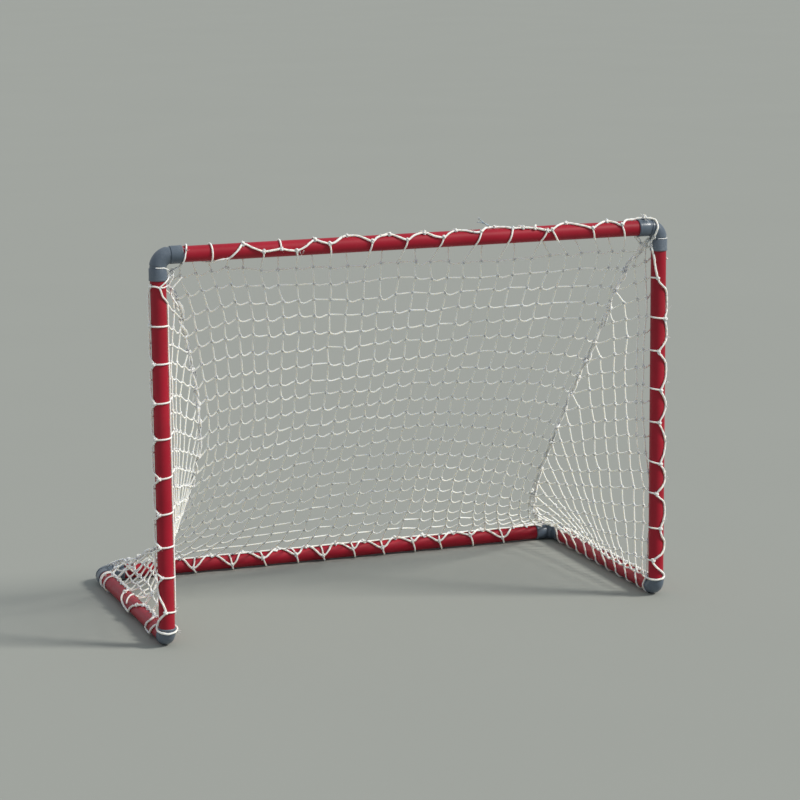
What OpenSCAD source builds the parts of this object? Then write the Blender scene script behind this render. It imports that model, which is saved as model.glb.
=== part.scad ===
// Backyard hockey goal: six plastic tubes pushed into six elbows make a rigid frame,
// and a knotted twine net hangs inside it, held by border ropes that run along the tubes.
// Millimetres. X runs along the crossbar, Y from the mouth to the back, Z up.
// The origin is on the ground, in the middle of the frame.

/* [Frame] */
// Overall width, across the outside of the elbows
goal_w = 1676; // [1620:1:1740]
// Overall height, from the ground to the top of the elbows
goal_h = 1219; // [1180:1:1260]
// Overall depth along the ground
goal_d = 889; // [850:1:930]

/* [Tubes] */
// Outside diameter of every tube
tube_d = 48.3; // [47:0.1:48.6]
// Wall thickness of every tube
tube_wall = 3.2; // [2:0.1:5]

/* [Elbows] */
// Outside diameter of the bead at the mouth of each hub
hub_d = 55; // [54.6:0.1:57]
// Outside diameter of the hub behind its bead
hub_body_d = 54; // [53:0.1:54.4]
// Outside diameter of the curved part between the hubs
bend_d = 52.4; // [51:0.1:53]
// Radius of the bend's centre line
bend_r = 38; // [34:1:42]
// Length of each hub
hub_len = 36; // [32:1:40]
// Depth of each socket, from its mouth to the shoulder that stops the tube
socket_depth = 34; // [28:1:35]
// Width of the bead at the mouth of each hub
bead_len = 6; // [3:0.5:10]
// Radial clearance of the push fit
slip = 0.1; // [0.05:0.05:0.3]

/* [Foot elbows] */
// Radius of the front elbows' bend
foot_bend_r = 26.5; // [26.3:0.1:30]
// Width of each bead, against which a tube stops
foot_bead_len = 5; // [3:0.5:8]
// Length of each spigot inside its tube
spigot_len = 34; // [25:1:40]
// Wall thickness of the spigots
spigot_wall = 3; // [2:0.1:4]

/* [Net] */
// Width of one mesh along the crossbar
mesh_w = 54; // [50:1:60]
// Rows of meshes between the crossbar and the rear bar
mesh_rows = 23; // [18:1:26]
// Thickness of the net's twine
twine_d = 2.6; // [2:0.1:2.8]
// How far the side columns of the back net draw in at its middle
gather = 0.11; // [0:0.01:0.15]

/* [Ropes] */
// Thickness of the border rope
rope_d = 6; // [4:0.5:7]
// Thickness of the cord along each rear seam
seam_d = 7; // [5:0.5:8]

/* [Hidden] */
$fn = 64;

RED = "#b3172b";
GREY = "#5f6b78";
TWINE = "#e9e4d4";
ROPE = "#f2efe6";

// Planes and lines on which the tubes' centre lines lie
half_w = (goal_w - hub_d) / 2;
mouth_y = -(goal_d - hub_d) / 2;
back_y = (goal_d - hub_d) / 2;
ground_z = hub_d / 2;
top_z = goal_h - hub_d / 2;

tube_r = tube_d / 2;
bore_r = tube_r - tube_wall;
hub_reach = bend_r + hub_len;
stop_reach = hub_reach - socket_depth;
foot_reach = foot_bend_r + foot_bead_len;

// The net's twine and the ropes lie on the tubes with a small gap
gap = 0.2;
wrap_step = 22.5;
twine_side = twine_d / 2;
twine_wrap_r = (tube_r + twine_side + gap) / cos(wrap_step / 2);
rope_wrap_r = tube_r + rope_d / 2 + 6 * gap;
// Angle round a tube at which a twine stops beside the rope it is tied to
tie_angle = 13;
// Distance from a corner inside which the elbow leaves no room on a tube
hub_clear = hub_reach + 8;
foot_clear = foot_reach + 8;
// Columns and rows of a net pass each other with this offset to each side
layer = twine_side + 0.9;
// Clearance from the seam cord's centre line to the end of a twine
seam_clear = seam_d / 2 + twine_side + 1;

// Routes of the seam cords, from the top elbow to the rear elbow: distance out from the
// goal's middle, distance behind the origin, and height
right_route = [
    [787, -394, 1153], [716, -330, 1022], [694, -260, 872], [653, -193, 725], [622, -130, 590],
    [600, -45, 445], [603, 55, 320], [620, 160, 200], [686, 270, 114], [793, 398, 57]
];
left_route = [
    [787, -394, 1153], [725, -330, 1020], [683, -265, 875], [645, -200, 730], [615, -130, 590],
    [608, -50, 450], [615, 55, 325], [643, 162, 200], [704, 275, 112], [793, 398, 57]
];
// The back net's middle line, which sags less than its seams
middle_route = [
    [0, -400, 1155], [0, -335, 1022], [0, -265, 892], [0, -195, 762], [0, -115, 637],
    [0, -35, 515], [0, 60, 400], [0, 160, 285], [0, 265, 170], [0, 383, 64]
];

// ---- small helpers ----

function unit(v) = v / norm(v);
function mix(a, b, t) = a + (b - a) * t;

// A smooth curve through every point of a route; t runs from 0 to 1
function on_route(p, t) =
    let (
        spans = len(p) - 1,
        i = min(floor(t * spans), spans - 1),
        f = t * spans - i,
        b = p[i],
        c = p[i + 1],
        a = i > 0 ? p[i - 1] : 2 * b - c,
        d = i + 2 <= spans ? p[i + 2] : 2 * c - b
    )
    0.5 * (2 * b + (c - a) * f + (2 * a - 5 * b + 4 * c - d) * f * f + (3 * b - a - 3 * c + d) * f * f * f);

// The share of a route at which coordinate k passes a value, by halving
function share_at(p, k, value, lo = 0, hi = 1, n = 18) =
    n == 0 ? (lo + hi) / 2
    : let (m = (lo + hi) / 2, rising = p[len(p) - 1][k] > p[0][k])
      (on_route(p, m)[k] < value) == rising
        ? share_at(p, k, value, m, hi, n - 1)
        : share_at(p, k, value, lo, m, n - 1);

function route_of(side) = side > 0 ? right_route : left_route;
function seam_point(side, t) = let (q = on_route(route_of(side), t)) [side * q.x, q.y, q.z];

// ---- swept cords ----

function heading(p, i) = unit(p[min(i + 1, len(p) - 1)] - p[max(i - 1, 0)]);

// The corners of a cord's section at point i; across is a direction that the cord never takes
function ring(p, i, r, sides, across) =
    let (t = heading(p, i), a = unit(cross(t, across)), b = cross(a, t))
    [for (k = [0:sides - 1]) let (w = 360 * (k + 0.5) / sides) p[i] + r * (cos(w) * a + sin(w) * b)];

function starts(cords, i = 0, sum = 0) =
    i == len(cords) ? [] : concat([sum], starts(cords, i + 1, sum + len(cords[i][0])));

// Every cord is [points, across]; each becomes one closed tube, all in one mesh
module cords(list, r, sides) {
    first = starts(list);
    corners = [
        for (c = list)
            for (i = [0:len(c[0]) - 1])
                each ring(c[0], i, r, sides, c[1])
    ];
    faces = [
        for (n = [0:len(list) - 1])
            let (base = first[n] * sides, last = len(list[n][0]) - 1)
            each [
                [for (k = [sides - 1:-1:0]) base + k],
                [for (k = [0:sides - 1]) base + last * sides + k],
                for (i = [0:last - 1])
                    for (k = [0:sides - 1])
                        let (a = base + i * sides + k, b = base + i * sides + (k + 1) % sides)
                        each [[a, b, b + sides], [a, b + sides, a + sides]]
            ]
    ];
    polyhedron(corners, faces, convexity = 10);
}

// ---- places round the tubes ----

// A tube's frame: a point on its axis, the two directions that angles run between, and its axis.
// Angle 0 is behind a bar that runs along X, and outside a post or a side bar.
crossbar_frame = [[0, mouth_y, top_z], [0, 1, 0], [0, 0, 1], [1, 0, 0]];
rear_bar_frame = [[0, back_y, ground_z], [0, 1, 0], [0, 0, 1], [1, 0, 0]];
function post_frame(side) = [[side * half_w, mouth_y, 0], [side, 0, 0], [0, 1, 0], [0, 0, 1]];
function side_bar_frame(side) = [[side * half_w, 0, ground_z], [side, 0, 0], [0, 0, 1], [0, 1, 0]];

function round_tube(f, r, angle, t) = f[0] + f[3] * t + r * (cos(angle) * f[1] + sin(angle) * f[2]);

// A twine wrapped round a tube from one angle to another, drifting along it
function wrap(f, from, to, t, drift = 0) =
    let (n = max(1, round(abs(to - from) / wrap_step)))
    [for (i = [0:n]) round_tube(f, twine_wrap_r, mix(from, to, i / n), t + drift * i / n)];

// ---- border ropes ----

// A rope ends this far from a corner, beside the elbow's hub
rope_end = hub_reach + 5;
rope_point_step = mesh_w / 5;

// A rope through its ties, each a place along the tube and an angle round it
function rope_path(f, ties) =
    [for (i = [0:len(ties) - 2])
        let (a = ties[i], b = ties[i + 1], n = max(1, round((b[0] - a[0]) / rope_point_step)))
        for (k = [i == 0 ? 0 : 1:n])
            let (swing = 0.5 - 0.5 * cos(180 * k / n))
            round_tube(f, rope_wrap_r, mix(a[1], b[1], swing), mix(a[0], b[0], k / n))];

// Every second twine hooks the rope towards the front, and the others pull it to the rear
function is_hook(n) = n % 2 != 0;
tie_last = floor((half_w - rope_end) / mesh_w - 0.2);
tie_numbers = [for (j = [-tie_last:tie_last]) j];

// The crossbar's rope starts under the bar at the left and comes up its face. Its hooks and
// its crests climb from the left end to the right end.
crossbar_hook_at = [190, 148];
crossbar_crest_at = [138, 92];
crossbar_start_at = 268;
function starts_under(j) = j < 2 - tie_last;
function crossbar_tie_at(j) =
    let (w = (j + tie_last) / (2 * tie_last), at = is_hook(j) ? crossbar_hook_at : crossbar_crest_at)
    starts_under(j) ? crossbar_start_at - 8 * (j + tie_last + 1) : mix(at[0], at[1], w);

// The rear bar's rope zigzags down the bar's front face
rear_hook_at = 172;
rear_crest_at = 97;
function rear_tie_at(j) = is_hook(j) ? rear_hook_at : rear_crest_at;

// Angles of a post's rope and of a side bar's rope, at the hooks and at the crests
function post_rope_at(side) = side > 0 ? [-100, -42] : [-42, 12];
side_rope_at = [38, 80];

// ---- back net ----

column_count = floor(half_w / mesh_w - 0.01);
columns = [for (j = [-column_count:column_count]) j];

function middle_point(t) = on_route(middle_route, t);
function back_point(u, t) =
    let (l = seam_point(-1, t), r = seam_point(1, t), m = middle_point(t), rise = m - (l + r) / 2)
    mix(l, r, u) + 4 * u * (1 - u) * [0, rise.y, rise.z];
// The net's normal, which points out of the goal
function back_normal(u, t) =
    let (
        down = back_point(u, min(t + 0.02, 1)) - back_point(u, max(t - 0.02, 0)),
        across = back_point(min(u + 0.02, 1), t) - back_point(max(u - 0.02, 0), t)
    )
    unit(cross(down, across));

function column_x(j, t) = j * mesh_w * (1 - gather * sin(180 * t));
function column_u(j, t) =
    let (l = seam_point(-1, t).x, r = seam_point(1, t).x)
    (column_x(j, t) - l) / (r - l);
function is_inside(j, t) =
    let (x = column_x(j, t))
    x > seam_point(-1, t).x + seam_clear && x < seam_point(1, t).x - seam_clear;
function column_point(j, t) =
    let (u = column_u(j, t))
    back_point(u, t) - layer * back_normal(u, t);

// The share at which a column reaches the seam, between one inside and one outside it
function seam_share(j, inside, outside, n = 14) =
    n == 0 ? inside
    : let (m = (inside + outside) / 2)
      is_inside(j, m) ? seam_share(j, m, outside, n - 1) : seam_share(j, inside, m, n - 1);

column_steps = 17;
net_top_t = 0.015;
net_foot_t = 0.985;
function column_run(j, from, to) =
    let (n = max(2, round(column_steps * abs(to - from))))
    [for (i = [0:n]) column_point(j, mix(from, to, i / n))];

function has_wrap(x) = abs(x) < half_w - hub_clear;
// A twine with no room on the tube ends against the elbow's hub
hub_touch_r = hub_d / 2 + 2 * twine_side;
function crossbar_wrap(j) =
    let (x = j * mesh_w)
    !has_wrap(x) ? [round_tube(crossbar_frame, hub_touch_r, -50, x)]
    : is_hook(j) && !starts_under(j) ? wrap(crossbar_frame, crossbar_tie_at(j) + tie_angle, 258, x)
    : wrap(crossbar_frame, crossbar_tie_at(j) - tie_angle, -15, x);

// A column comes down on the rear bar's front and ends beside the rope
function rear_wrap(j) =
    let (x = j * mesh_w)
    !has_wrap(x) ? [round_tube(rear_bar_frame, hub_touch_r, 130, x)]
    : is_hook(j) ? wrap(rear_bar_frame, 140, rear_hook_at - tie_angle, x)
    : wrap(rear_bar_frame, 124, rear_crest_at + tie_angle, x);
// From each hook of the rear rope a twine goes under the bar, up behind it and over its top
// to the next crest
function rear_lacing(j) = [
    wrap(rear_bar_frame, rear_hook_at + tie_angle, 360 + rear_crest_at - tie_angle, j * mesh_w, mesh_w),
    [1, 0, 0]
];

probe_t = [for (i = [0:40]) i / 40];
function outside_probes(j) = [for (t = probe_t) if (!is_inside(j, mix(net_top_t, net_foot_t, t))) t];
function column_cords(j) =
    let (out = [for (t = outside_probes(j)) mix(net_top_t, net_foot_t, t)])
    len(out) == 0
        ? [[concat(crossbar_wrap(j), column_run(j, net_top_t, net_foot_t), rear_wrap(j)), [1, 0, 0]]]
    : let (
        top_end = min(out) > net_top_t ? seam_share(j, net_top_t, min(out)) : 0,
        foot_end = max(out) < net_foot_t ? seam_share(j, net_foot_t, max(out)) : 1
    )
    [
        if (top_end > 0.04) [concat(crossbar_wrap(j), column_run(j, net_top_t, top_end)), [1, 0, 0]],
        if (foot_end < 0.96) [concat(column_run(j, foot_end, net_foot_t), rear_wrap(j)), [1, 0, 0]]
    ];

row_steps = 13;
function row_cord(k) =
    let (
        t = k / mesh_rows,
        inset = seam_clear / norm(seam_point(1, t) - seam_point(-1, t))
    )
    [
        [for (i = [0:row_steps])
            let (u = mix(inset, 1 - inset, i / row_steps))
            back_point(u, t) + layer * back_normal(u, t)],
        [0, 0, 1]
    ];

module back_net() {
    list = concat(
        [for (j = columns) each column_cords(j)],
        [for (k = [1:mesh_rows - 1]) row_cord(k)],
        [for (j = tie_numbers) if (is_hook(j) && j < tie_last) rear_lacing(j)]
    );
    color(TWINE) cords(list, twine_side * sqrt(2), 4);
}

// ---- side nets ----

// The net leaves the post on its inner side and reaches the seam in an easy curve
bow = 1.15;
function side_surface(side, y, z) =
    let (s = seam_at_height(side, z), w = (y - mouth_y) / (s.y - mouth_y))
    [side * mix(half_w - twine_wrap_r, abs(s.x), pow(max(w, 0), bow)), y, z];
// A point of the side net moved out of the goal by a distance
function side_point(side, y, z, out) =
    let (
        rearward = side_surface(side, y + 3, z) - side_surface(side, y - 3, z),
        upward = side_surface(side, y, z + 3) - side_surface(side, y, z - 3)
    )
    side_surface(side, y, z) + side * out * unit(cross(rearward, upward));
function seam_at_height(side, z) = seam_point(side, share_at(route_of(side), 2, z));
function seam_at_depth(side, y) = seam_point(side, share_at(route_of(side), 1, y));

side_row_first = 1;
side_row_last = floor((top_z - hub_clear - ground_z) / mesh_w);
side_row_steps = 7;
function post_wrap(side, z, front) =
    front ? wrap(post_frame(side), post_rope_at(side)[0] - tie_angle, -195, z)
    : wrap(post_frame(side), post_rope_at(side)[1] + tie_angle, 132, z);
// The right post's hooks stand one row off the left post's
function is_post_hook(side, k) = is_hook(side > 0 ? k + 1 : k);
function side_row(side, k) =
    let (
        z = ground_z + k * mesh_w,
        s = seam_at_height(side, z),
        from = mouth_y + 40,
        to = s.y - 1.4 * seam_clear
    )
    to - from < 40 ? []
    : [[
        concat(
            post_wrap(side, z, is_post_hook(side, k)),
            [for (i = [0:side_row_steps])
                side_point(side, mix(from, to, i / side_row_steps), z, layer)]
        ),
        [0, 0, 1]
    ]];

side_column_step = 50;
side_column_last = floor((back_y - mouth_y - 60) / mesh_w);
function side_bar_wrap(side, y, front) =
    y > back_y - hub_clear ? [round_tube(side_bar_frame(side), hub_touch_r, 150, y)]
    : front ? wrap(side_bar_frame(side), 175, 360 + side_rope_at[0] - tie_angle, y)
    : wrap(side_bar_frame(side), 118, side_rope_at[1] + tie_angle, y);
function reversed(p) = [for (i = [len(p) - 1:-1:0]) p[i]];
function side_column(side, j) =
    let (
        y = mouth_y + j * mesh_w,
        s = seam_at_depth(side, y),
        from = ground_z + tube_r + 24,
        to = s.z - 1.8 * seam_clear,
        n = max(2, round((to - from) / side_column_step))
    )
    to - from < 30 ? []
    : [[
        concat(
            reversed(side_bar_wrap(side, y, is_hook(j))),
            [for (i = [0:n])
                side_point(side, y, mix(from, to, i / n), -layer)]
        ),
        [0, 1, 0]
    ]];

module side_net(side) {
    list = concat(
        [for (k = [side_row_first:side_row_last]) each side_row(side, k)],
        [for (j = [1:side_column_last]) each side_column(side, j)]
    );
    color(TWINE) cords(list, twine_side * sqrt(2), 4);
}
module left_net() side_net(-1);
module right_net() side_net(1);

seam_points = 26;
module seam_cord(side) {
    path = [for (i = [0:seam_points]) seam_point(side, i / seam_points)];
    color(ROPE) cords([[path, [side, -0.6, 0]]], seam_d / 2, 6);
}
module left_seam_cord() seam_cord(-1);
module right_seam_cord() seam_cord(1);

// ---- ropes along the tubes ----

bar_rope_end = half_w - rope_end;
module rope(f, ties, across) {
    color(ROPE) cords([[rope_path(f, ties), across]], rope_d / 2, 6);
}
module crossbar_rope() {
    ties = concat(
        [[-bar_rope_end, crossbar_start_at]],
        [for (j = tie_numbers) [j * mesh_w, crossbar_tie_at(j)]],
        [[bar_rope_end, crossbar_crest_at[1]]]
    );
    rope(crossbar_frame, ties, [0, 1, 0]);
}
module rear_bar_rope() {
    ties = concat(
        [[-bar_rope_end, rear_crest_at]],
        [for (j = tie_numbers) [j * mesh_w, rear_tie_at(j)]],
        [[bar_rope_end, rear_crest_at]]
    );
    rope(rear_bar_frame, ties, [0, 1, 0]);
}
// Ties on a post or a side bar, one for each row or column of the side net
function side_ties(from, to, origin, hooks, at) =
    [for (k = [ceil((from - origin) / mesh_w):floor((to - origin) / mesh_w)])
        [origin + k * mesh_w, at[hooks[abs(k) % 2]]]];
// The rope ends in a ring that leans forward round the foot elbow's bead
foot_ring_r = hub_d / 2 + rope_d / 2 + 5 * gap;
foot_ring_z = foot_reach + ground_z - 2;
foot_ring_lean = 6;
foot_ring_step = 15;
function foot_ring(side) =
    [for (a = [0:foot_ring_step:345])
        round_tube(post_frame(side), foot_ring_r, a, foot_ring_z + foot_ring_lean * sin(a))];
module post_rope(side) {
    ties = side_ties(ground_z + foot_clear, top_z - rope_end, ground_z,
        side > 0 ? [0, 1] : [1, 0], post_rope_at(side));
    rope(post_frame(side), ties, [0, 1, 0]);
    color(ROPE) cords([[foot_ring(side), [0, 0, 1]]], rope_d / 2, 6);
}
module left_post_rope() post_rope(-1);
module right_post_rope() post_rope(1);
module side_rope(side) {
    ties = side_ties(mouth_y + foot_clear, back_y - rope_end, mouth_y, [1, 0], side_rope_at);
    rope(side_bar_frame(side), ties, [1, 0, 0]);
}
module left_side_rope() side_rope(-1);
module right_side_rope() side_rope(1);

// ---- tubes ----

// A tube along +Z from the origin
module tube(length) {
    color(RED) difference() {
        cylinder(h = length, r = tube_r);
        translate([0, 0, -1]) cylinder(h = length + 2, r = bore_r);
    }
}
module bar_along_x(y, z)
    translate([stop_reach - half_w, y, z]) rotate([0, 90, 0]) tube(2 * (half_w - stop_reach));
module crossbar() bar_along_x(mouth_y, top_z);
module rear_bar() bar_along_x(back_y, ground_z);
module post(side)
    translate([side * half_w, mouth_y, ground_z + foot_reach])
        tube(top_z - ground_z - foot_reach - stop_reach);
module left_post() post(-1);
module right_post() post(1);
module side_bar(side)
    translate([side * half_w, mouth_y + foot_reach, ground_z])
        rotate([-90, 0, 0]) tube(back_y - mouth_y - foot_reach - stop_reach);
module left_side_bar() side_bar(-1);
module right_side_bar() side_bar(1);

// ---- elbows ----

// A quarter of a hollow bend in the XY plane, from the X axis to the Y axis
module quarter_bend(radius = bend_r, inside_r = bore_r)
    translate([radius, radius, 0]) rotate([0, 0, 180])
        rotate_extrude(angle = 90) translate([radius, 0]) difference() {
            circle(d = bend_d);
            circle(r = inside_r);
        }
// A hub round the Z axis: beaded mouth, chamfered socket and the shoulder that stops the tube
socket_r = tube_r + slip;
chamfer = 1.2;
module hub()
    rotate_extrude() polygon([
        [bore_r, bend_r], [hub_body_d / 2, bend_r],
        [hub_body_d / 2, hub_reach - bead_len], [hub_d / 2, hub_reach - bead_len],
        [hub_d / 2, hub_reach], [socket_r + chamfer, hub_reach],
        [socket_r, hub_reach - chamfer], [socket_r, stop_reach], [bore_r, stop_reach]
    ]);
// The elbow's corner point is the origin, and its hubs open along +X and +Y
module elbow()
    color(GREY) union() {
        quarter_bend();
        rotate([0, 90, 0]) hub();
        rotate([-90, 0, 0]) hub();
    }
// A foot elbow is lower: its spigots go inside the tubes, which stop at its beads
spigot_r = bore_r - slip;
spigot_bore_r = spigot_r - spigot_wall;
module spigot()
    rotate_extrude() polygon([
        [spigot_bore_r, foot_bend_r], [hub_d / 2, foot_bend_r], [hub_d / 2, foot_reach],
        [spigot_r, foot_reach], [spigot_r, foot_reach + spigot_len - chamfer],
        [spigot_r - chamfer, foot_reach + spigot_len], [spigot_bore_r, foot_reach + spigot_len]
    ]);
module foot_elbow()
    color(GREY) union() {
        quarter_bend(foot_bend_r, spigot_bore_r);
        rotate([0, 90, 0]) spigot();
        rotate([-90, 0, 0]) spigot();
    }
module top_left_elbow() translate([-half_w, mouth_y, top_z]) rotate([-90, 0, 0]) elbow();
module top_right_elbow() mirror([1, 0, 0]) top_left_elbow();
module front_left_elbow() translate([-half_w, mouth_y, ground_z]) rotate([0, -90, 0]) foot_elbow();
module front_right_elbow() mirror([1, 0, 0]) front_left_elbow();
module rear_left_elbow() translate([-half_w, back_y, ground_z]) rotate([0, 0, -90]) elbow();
module rear_right_elbow() mirror([1, 0, 0]) rear_left_elbow();

crossbar();
left_post();
right_post();
left_side_bar();
right_side_bar();
rear_bar();
top_left_elbow();
top_right_elbow();
front_left_elbow();
front_right_elbow();
rear_left_elbow();
rear_right_elbow();
back_net();
left_net();
right_net();
left_seam_cord();
right_seam_cord();
crossbar_rope();
left_post_rope();
right_post_rope();
left_side_rope();
right_side_rope();
rear_bar_rope();
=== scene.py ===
"""Dresses the hockey goal: red plastic tubes, slate elbows, a knotted twine net and its ropes."""

import logging
import math
from dataclasses import dataclass, field
from enum import Enum
from typing import Callable, Iterable, Sequence

import bmesh
import bpy
import numpy as np
from mathutils import Matrix, Vector


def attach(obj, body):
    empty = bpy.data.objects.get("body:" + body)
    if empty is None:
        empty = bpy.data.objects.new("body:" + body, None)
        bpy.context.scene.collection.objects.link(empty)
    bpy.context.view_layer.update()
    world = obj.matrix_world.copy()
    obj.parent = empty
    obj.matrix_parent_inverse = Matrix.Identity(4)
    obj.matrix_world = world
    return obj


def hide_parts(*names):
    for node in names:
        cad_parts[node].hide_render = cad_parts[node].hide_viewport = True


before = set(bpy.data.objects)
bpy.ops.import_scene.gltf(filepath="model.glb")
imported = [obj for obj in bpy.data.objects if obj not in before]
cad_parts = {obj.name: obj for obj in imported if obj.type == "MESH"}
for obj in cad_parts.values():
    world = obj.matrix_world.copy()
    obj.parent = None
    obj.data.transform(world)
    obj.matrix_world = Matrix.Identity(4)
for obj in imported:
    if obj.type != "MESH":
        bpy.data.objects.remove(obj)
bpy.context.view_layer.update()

LOG = logging.getLogger("goal")
BODY = "root"
MM = 0.001


class Side(Enum):
    """The two sides of the goal, as signs of X."""

    LEFT = -1
    RIGHT = 1


class Slot(Enum):
    """The record's material slots."""

    GREY_ELBOW = "grey_elbow"
    TWINE = "twine"
    CORD = "cord"


# ---------------------------------------------------------------------------
# Geometry of the frame, in metres
# ---------------------------------------------------------------------------

HALF_W = 0.8105
MOUTH_Y = -0.417
BACK_Y = 0.417
GROUND_Z = 0.0275
TOP_Z = 1.1915
TUBE_R = 0.02415
HUB_R = 0.0275
HUB_REACH = 0.074
FOOT_REACH = 0.0315
MESH = 0.054
MESH_ROWS = 23
# How far a row of knots hangs down where it meets a seam, in rows
SEAM_DROOP = {-1: 0.8, 1: 0.6}
LAST_LEFT, LAST_RIGHT = 14, 13


@dataclass(frozen=True)
class TubeAxis:
    """A tube's axis and the two directions between which angles round it are counted."""

    origin: tuple[float, float, float]
    zero: tuple[float, float, float]
    ninety: tuple[float, float, float]
    along: tuple[float, float, float]

    def at(self, angle: float, place: float, radius: float) -> np.ndarray:
        """A point round the tube.

        Args:
            angle: Degrees from the zero direction towards the ninety direction.
            place: Distance along the axis from its origin.
            radius: Distance from the axis.

        Returns:
            The point, as an array of three numbers.
        """
        a = math.radians(angle)
        return (
            np.array(self.origin)
            + np.array(self.along) * place
            + radius * (math.cos(a) * np.array(self.zero) + math.sin(a) * np.array(self.ninety))
        )


CROSSBAR = TubeAxis((0, MOUTH_Y, TOP_Z), (0, 1, 0), (0, 0, 1), (1, 0, 0))
REAR_BAR = TubeAxis((0, BACK_Y, GROUND_Z), (0, 1, 0), (0, 0, 1), (1, 0, 0))


def post_axis(side: Side) -> TubeAxis:
    """The post's axis: 0 is outward, 90 to the rear; places are heights."""
    return TubeAxis((side.value * HALF_W, MOUTH_Y, 0), (side.value, 0, 0), (0, 1, 0), (0, 0, 1))


def side_bar_axis(side: Side) -> TubeAxis:
    """The side bar's axis: 0 is outward, 90 upward; places are distances behind the origin."""
    return TubeAxis((side.value * HALF_W, 0, GROUND_Z), (side.value, 0, 0), (0, 0, 1), (0, 1, 0))


SEAM_ROUTE = {
    Side.RIGHT: [
        (787, -394, 1153), (716, -330, 1022), (694, -260, 872), (653, -193, 725), (622, -130, 590),
        (600, -45, 445), (603, 55, 320), (620, 160, 200), (686, 270, 114), (793, 398, 57),
    ],
    Side.LEFT: [
        (787, -394, 1153), (725, -330, 1020), (683, -265, 875), (645, -200, 730), (615, -130, 590),
        (608, -50, 450), (615, 55, 325), (643, 162, 200), (704, 275, 112), (793, 398, 57),
    ],
}
MIDDLE_ROUTE = [
    (0, -400, 1155), (0, -335, 1022), (0, -265, 892), (0, -195, 762), (0, -115, 637),
    (0, -35, 515), (0, 60, 400), (0, 160, 285), (0, 265, 170), (0, 383, 64),
]


def on_route(points: Sequence[Sequence[float]], t: np.ndarray | float) -> np.ndarray:
    """Points of a smooth curve that passes through every point of a route.

    Args:
        points: The route's points.
        t: Shares of the route, from 0 to 1.

    Returns:
        One row of three numbers for each share.
    """
    p = np.asarray(points, float)
    t = np.atleast_1d(np.asarray(t, float))
    spans = len(p) - 1
    i = np.clip((t * spans).astype(int), 0, spans - 1)
    f = (t * spans - i)[:, None]
    padded = np.vstack([2 * p[0] - p[1], p, 2 * p[-1] - p[-2]])
    a, b, c, d = (padded[i + k] for k in range(4))
    return 0.5 * (
        2 * b + (c - a) * f + (2 * a - 5 * b + 4 * c - d) * f**2 + (3 * b - a - 3 * c + d) * f**3
    )


def seam_point(side: Side, t: np.ndarray | float) -> np.ndarray:
    """Points of a seam between the back net and a side net, in metres.

    Args:
        side: Which seam.
        t: Shares of its length, from the top.

    Returns:
        One row for each share.
    """
    q = on_route(SEAM_ROUTE[side], t) * MM
    q[:, 0] *= side.value
    return q


def smooth_step(value: float, start: float, end: float) -> float:
    """A share that rises smoothly from 0 to 1 between two values."""
    f = min(max((value - start) / (end - start), 0.0), 1.0)
    return f * f * (3 - 2 * f)


def droop_fade(t: float) -> float:
    """How far the droop beside the seams has grown, by share of the height."""
    return smooth_step(t, 0.02, 0.15) * (1 - smooth_step(t, 0.8, 0.98))


# How far the knots of the hung net lie from an even grid: down the net in rows, and to the
# right in columns. Each line of the tables is a height, each place in it a column.
HANG_COLUMNS = np.array([-14, -11, -9, -6.5, -3.5, -0.5, 2.5, 5.5, 8.5, 13])
HANG_ROWS = np.array([
    (0.00, -0.40, -0.70, -0.28, -0.22, -0.10, -0.18, -0.20, -0.12, -0.10, -0.22),
    (0.10, -0.50, -0.72, -0.38, -0.33, -0.08, -0.28, -0.05, -0.14, -0.20, -0.30),
    (0.22, -0.62, -0.70, -0.46, -0.26, -0.10, -0.20, -0.06, -0.16, -0.32, -0.36),
    (0.35, -0.42, -0.42, -0.32, -0.18, 0.02, 0.05, 0.05, -0.04, -0.24, -0.20),
    (0.46, -0.12, -0.08, -0.08, -0.12, 0.10, 0.04, 0.12, 0.18, -0.10, 0.04),
    (0.57, 0.06, 0.06, 0.06, 0.16, 0.20, 0.20, 0.24, 0.30, 0.10, 0.08),
    (0.66, 0.04, 0.20, 0.32, 0.46, 0.48, 0.52, 0.62, 0.47, 0.42, 0.42),
    (0.78, -0.05, 0.22, 0.40, 0.50, 0.45, 0.54, 0.82, 0.70, 0.60, 0.74),
    (0.88, 0.25, 0.50, 0.65, 0.55, 0.38, 0.60, 0.78, 0.90, 1.00, 1.25),
    (1.00, 0.50, 0.90, 1.10, 1.00, 0.90, 0.90, 0.92, 0.95, 1.10, 1.10),
])
SHIFT_COLUMNS = np.array([-14, -12, -8, -5, -2, 0, 3, 6, 9, 11.5, 13])
SHIFT_ACROSS = np.array([
    (0.00, 0.00, 0.00, 0.00, 0.00, 0.00, 0.00, 0.00, 0.00, 0.30, 0.40, 0.20),
    (0.08, 0.00, 0.10, 0.00, 0.08, 0.25, 0.38, 0.38, 0.50, 0.95, 1.25, 0.70),
    (0.20, -0.12, 0.15, 0.22, 0.18, 0.42, 0.46, 0.38, 0.35, 0.60, 0.95, 0.90),
    (0.33, -0.20, -0.02, 0.04, 0.34, 0.55, 0.70, 0.65, 0.50, 0.35, 0.62, 0.60),
    (0.50, -0.30, -0.38, 0.02, 0.35, 0.65, 0.82, 0.75, 0.50, 0.38, 0.62, 0.50),
    (0.62, -0.44, -0.40, -0.10, 0.42, 0.82, 0.97, 0.88, 0.52, 0.35, 0.46, 0.24),
    (0.76, -0.50, -0.52, 0.05, 0.72, 1.08, 1.10, 1.04, 0.95, 0.75, 0.85, 0.60),
    (0.92, -0.40, -0.42, 0.20, 0.86, 1.02, 1.04, 1.08, 1.00, 0.96, 0.85, 0.50),
    (1.00, -0.30, -0.40, 0.30, 0.80, 1.00, 1.00, 1.00, 1.00, 1.00, 0.90, 0.60),
])


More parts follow.
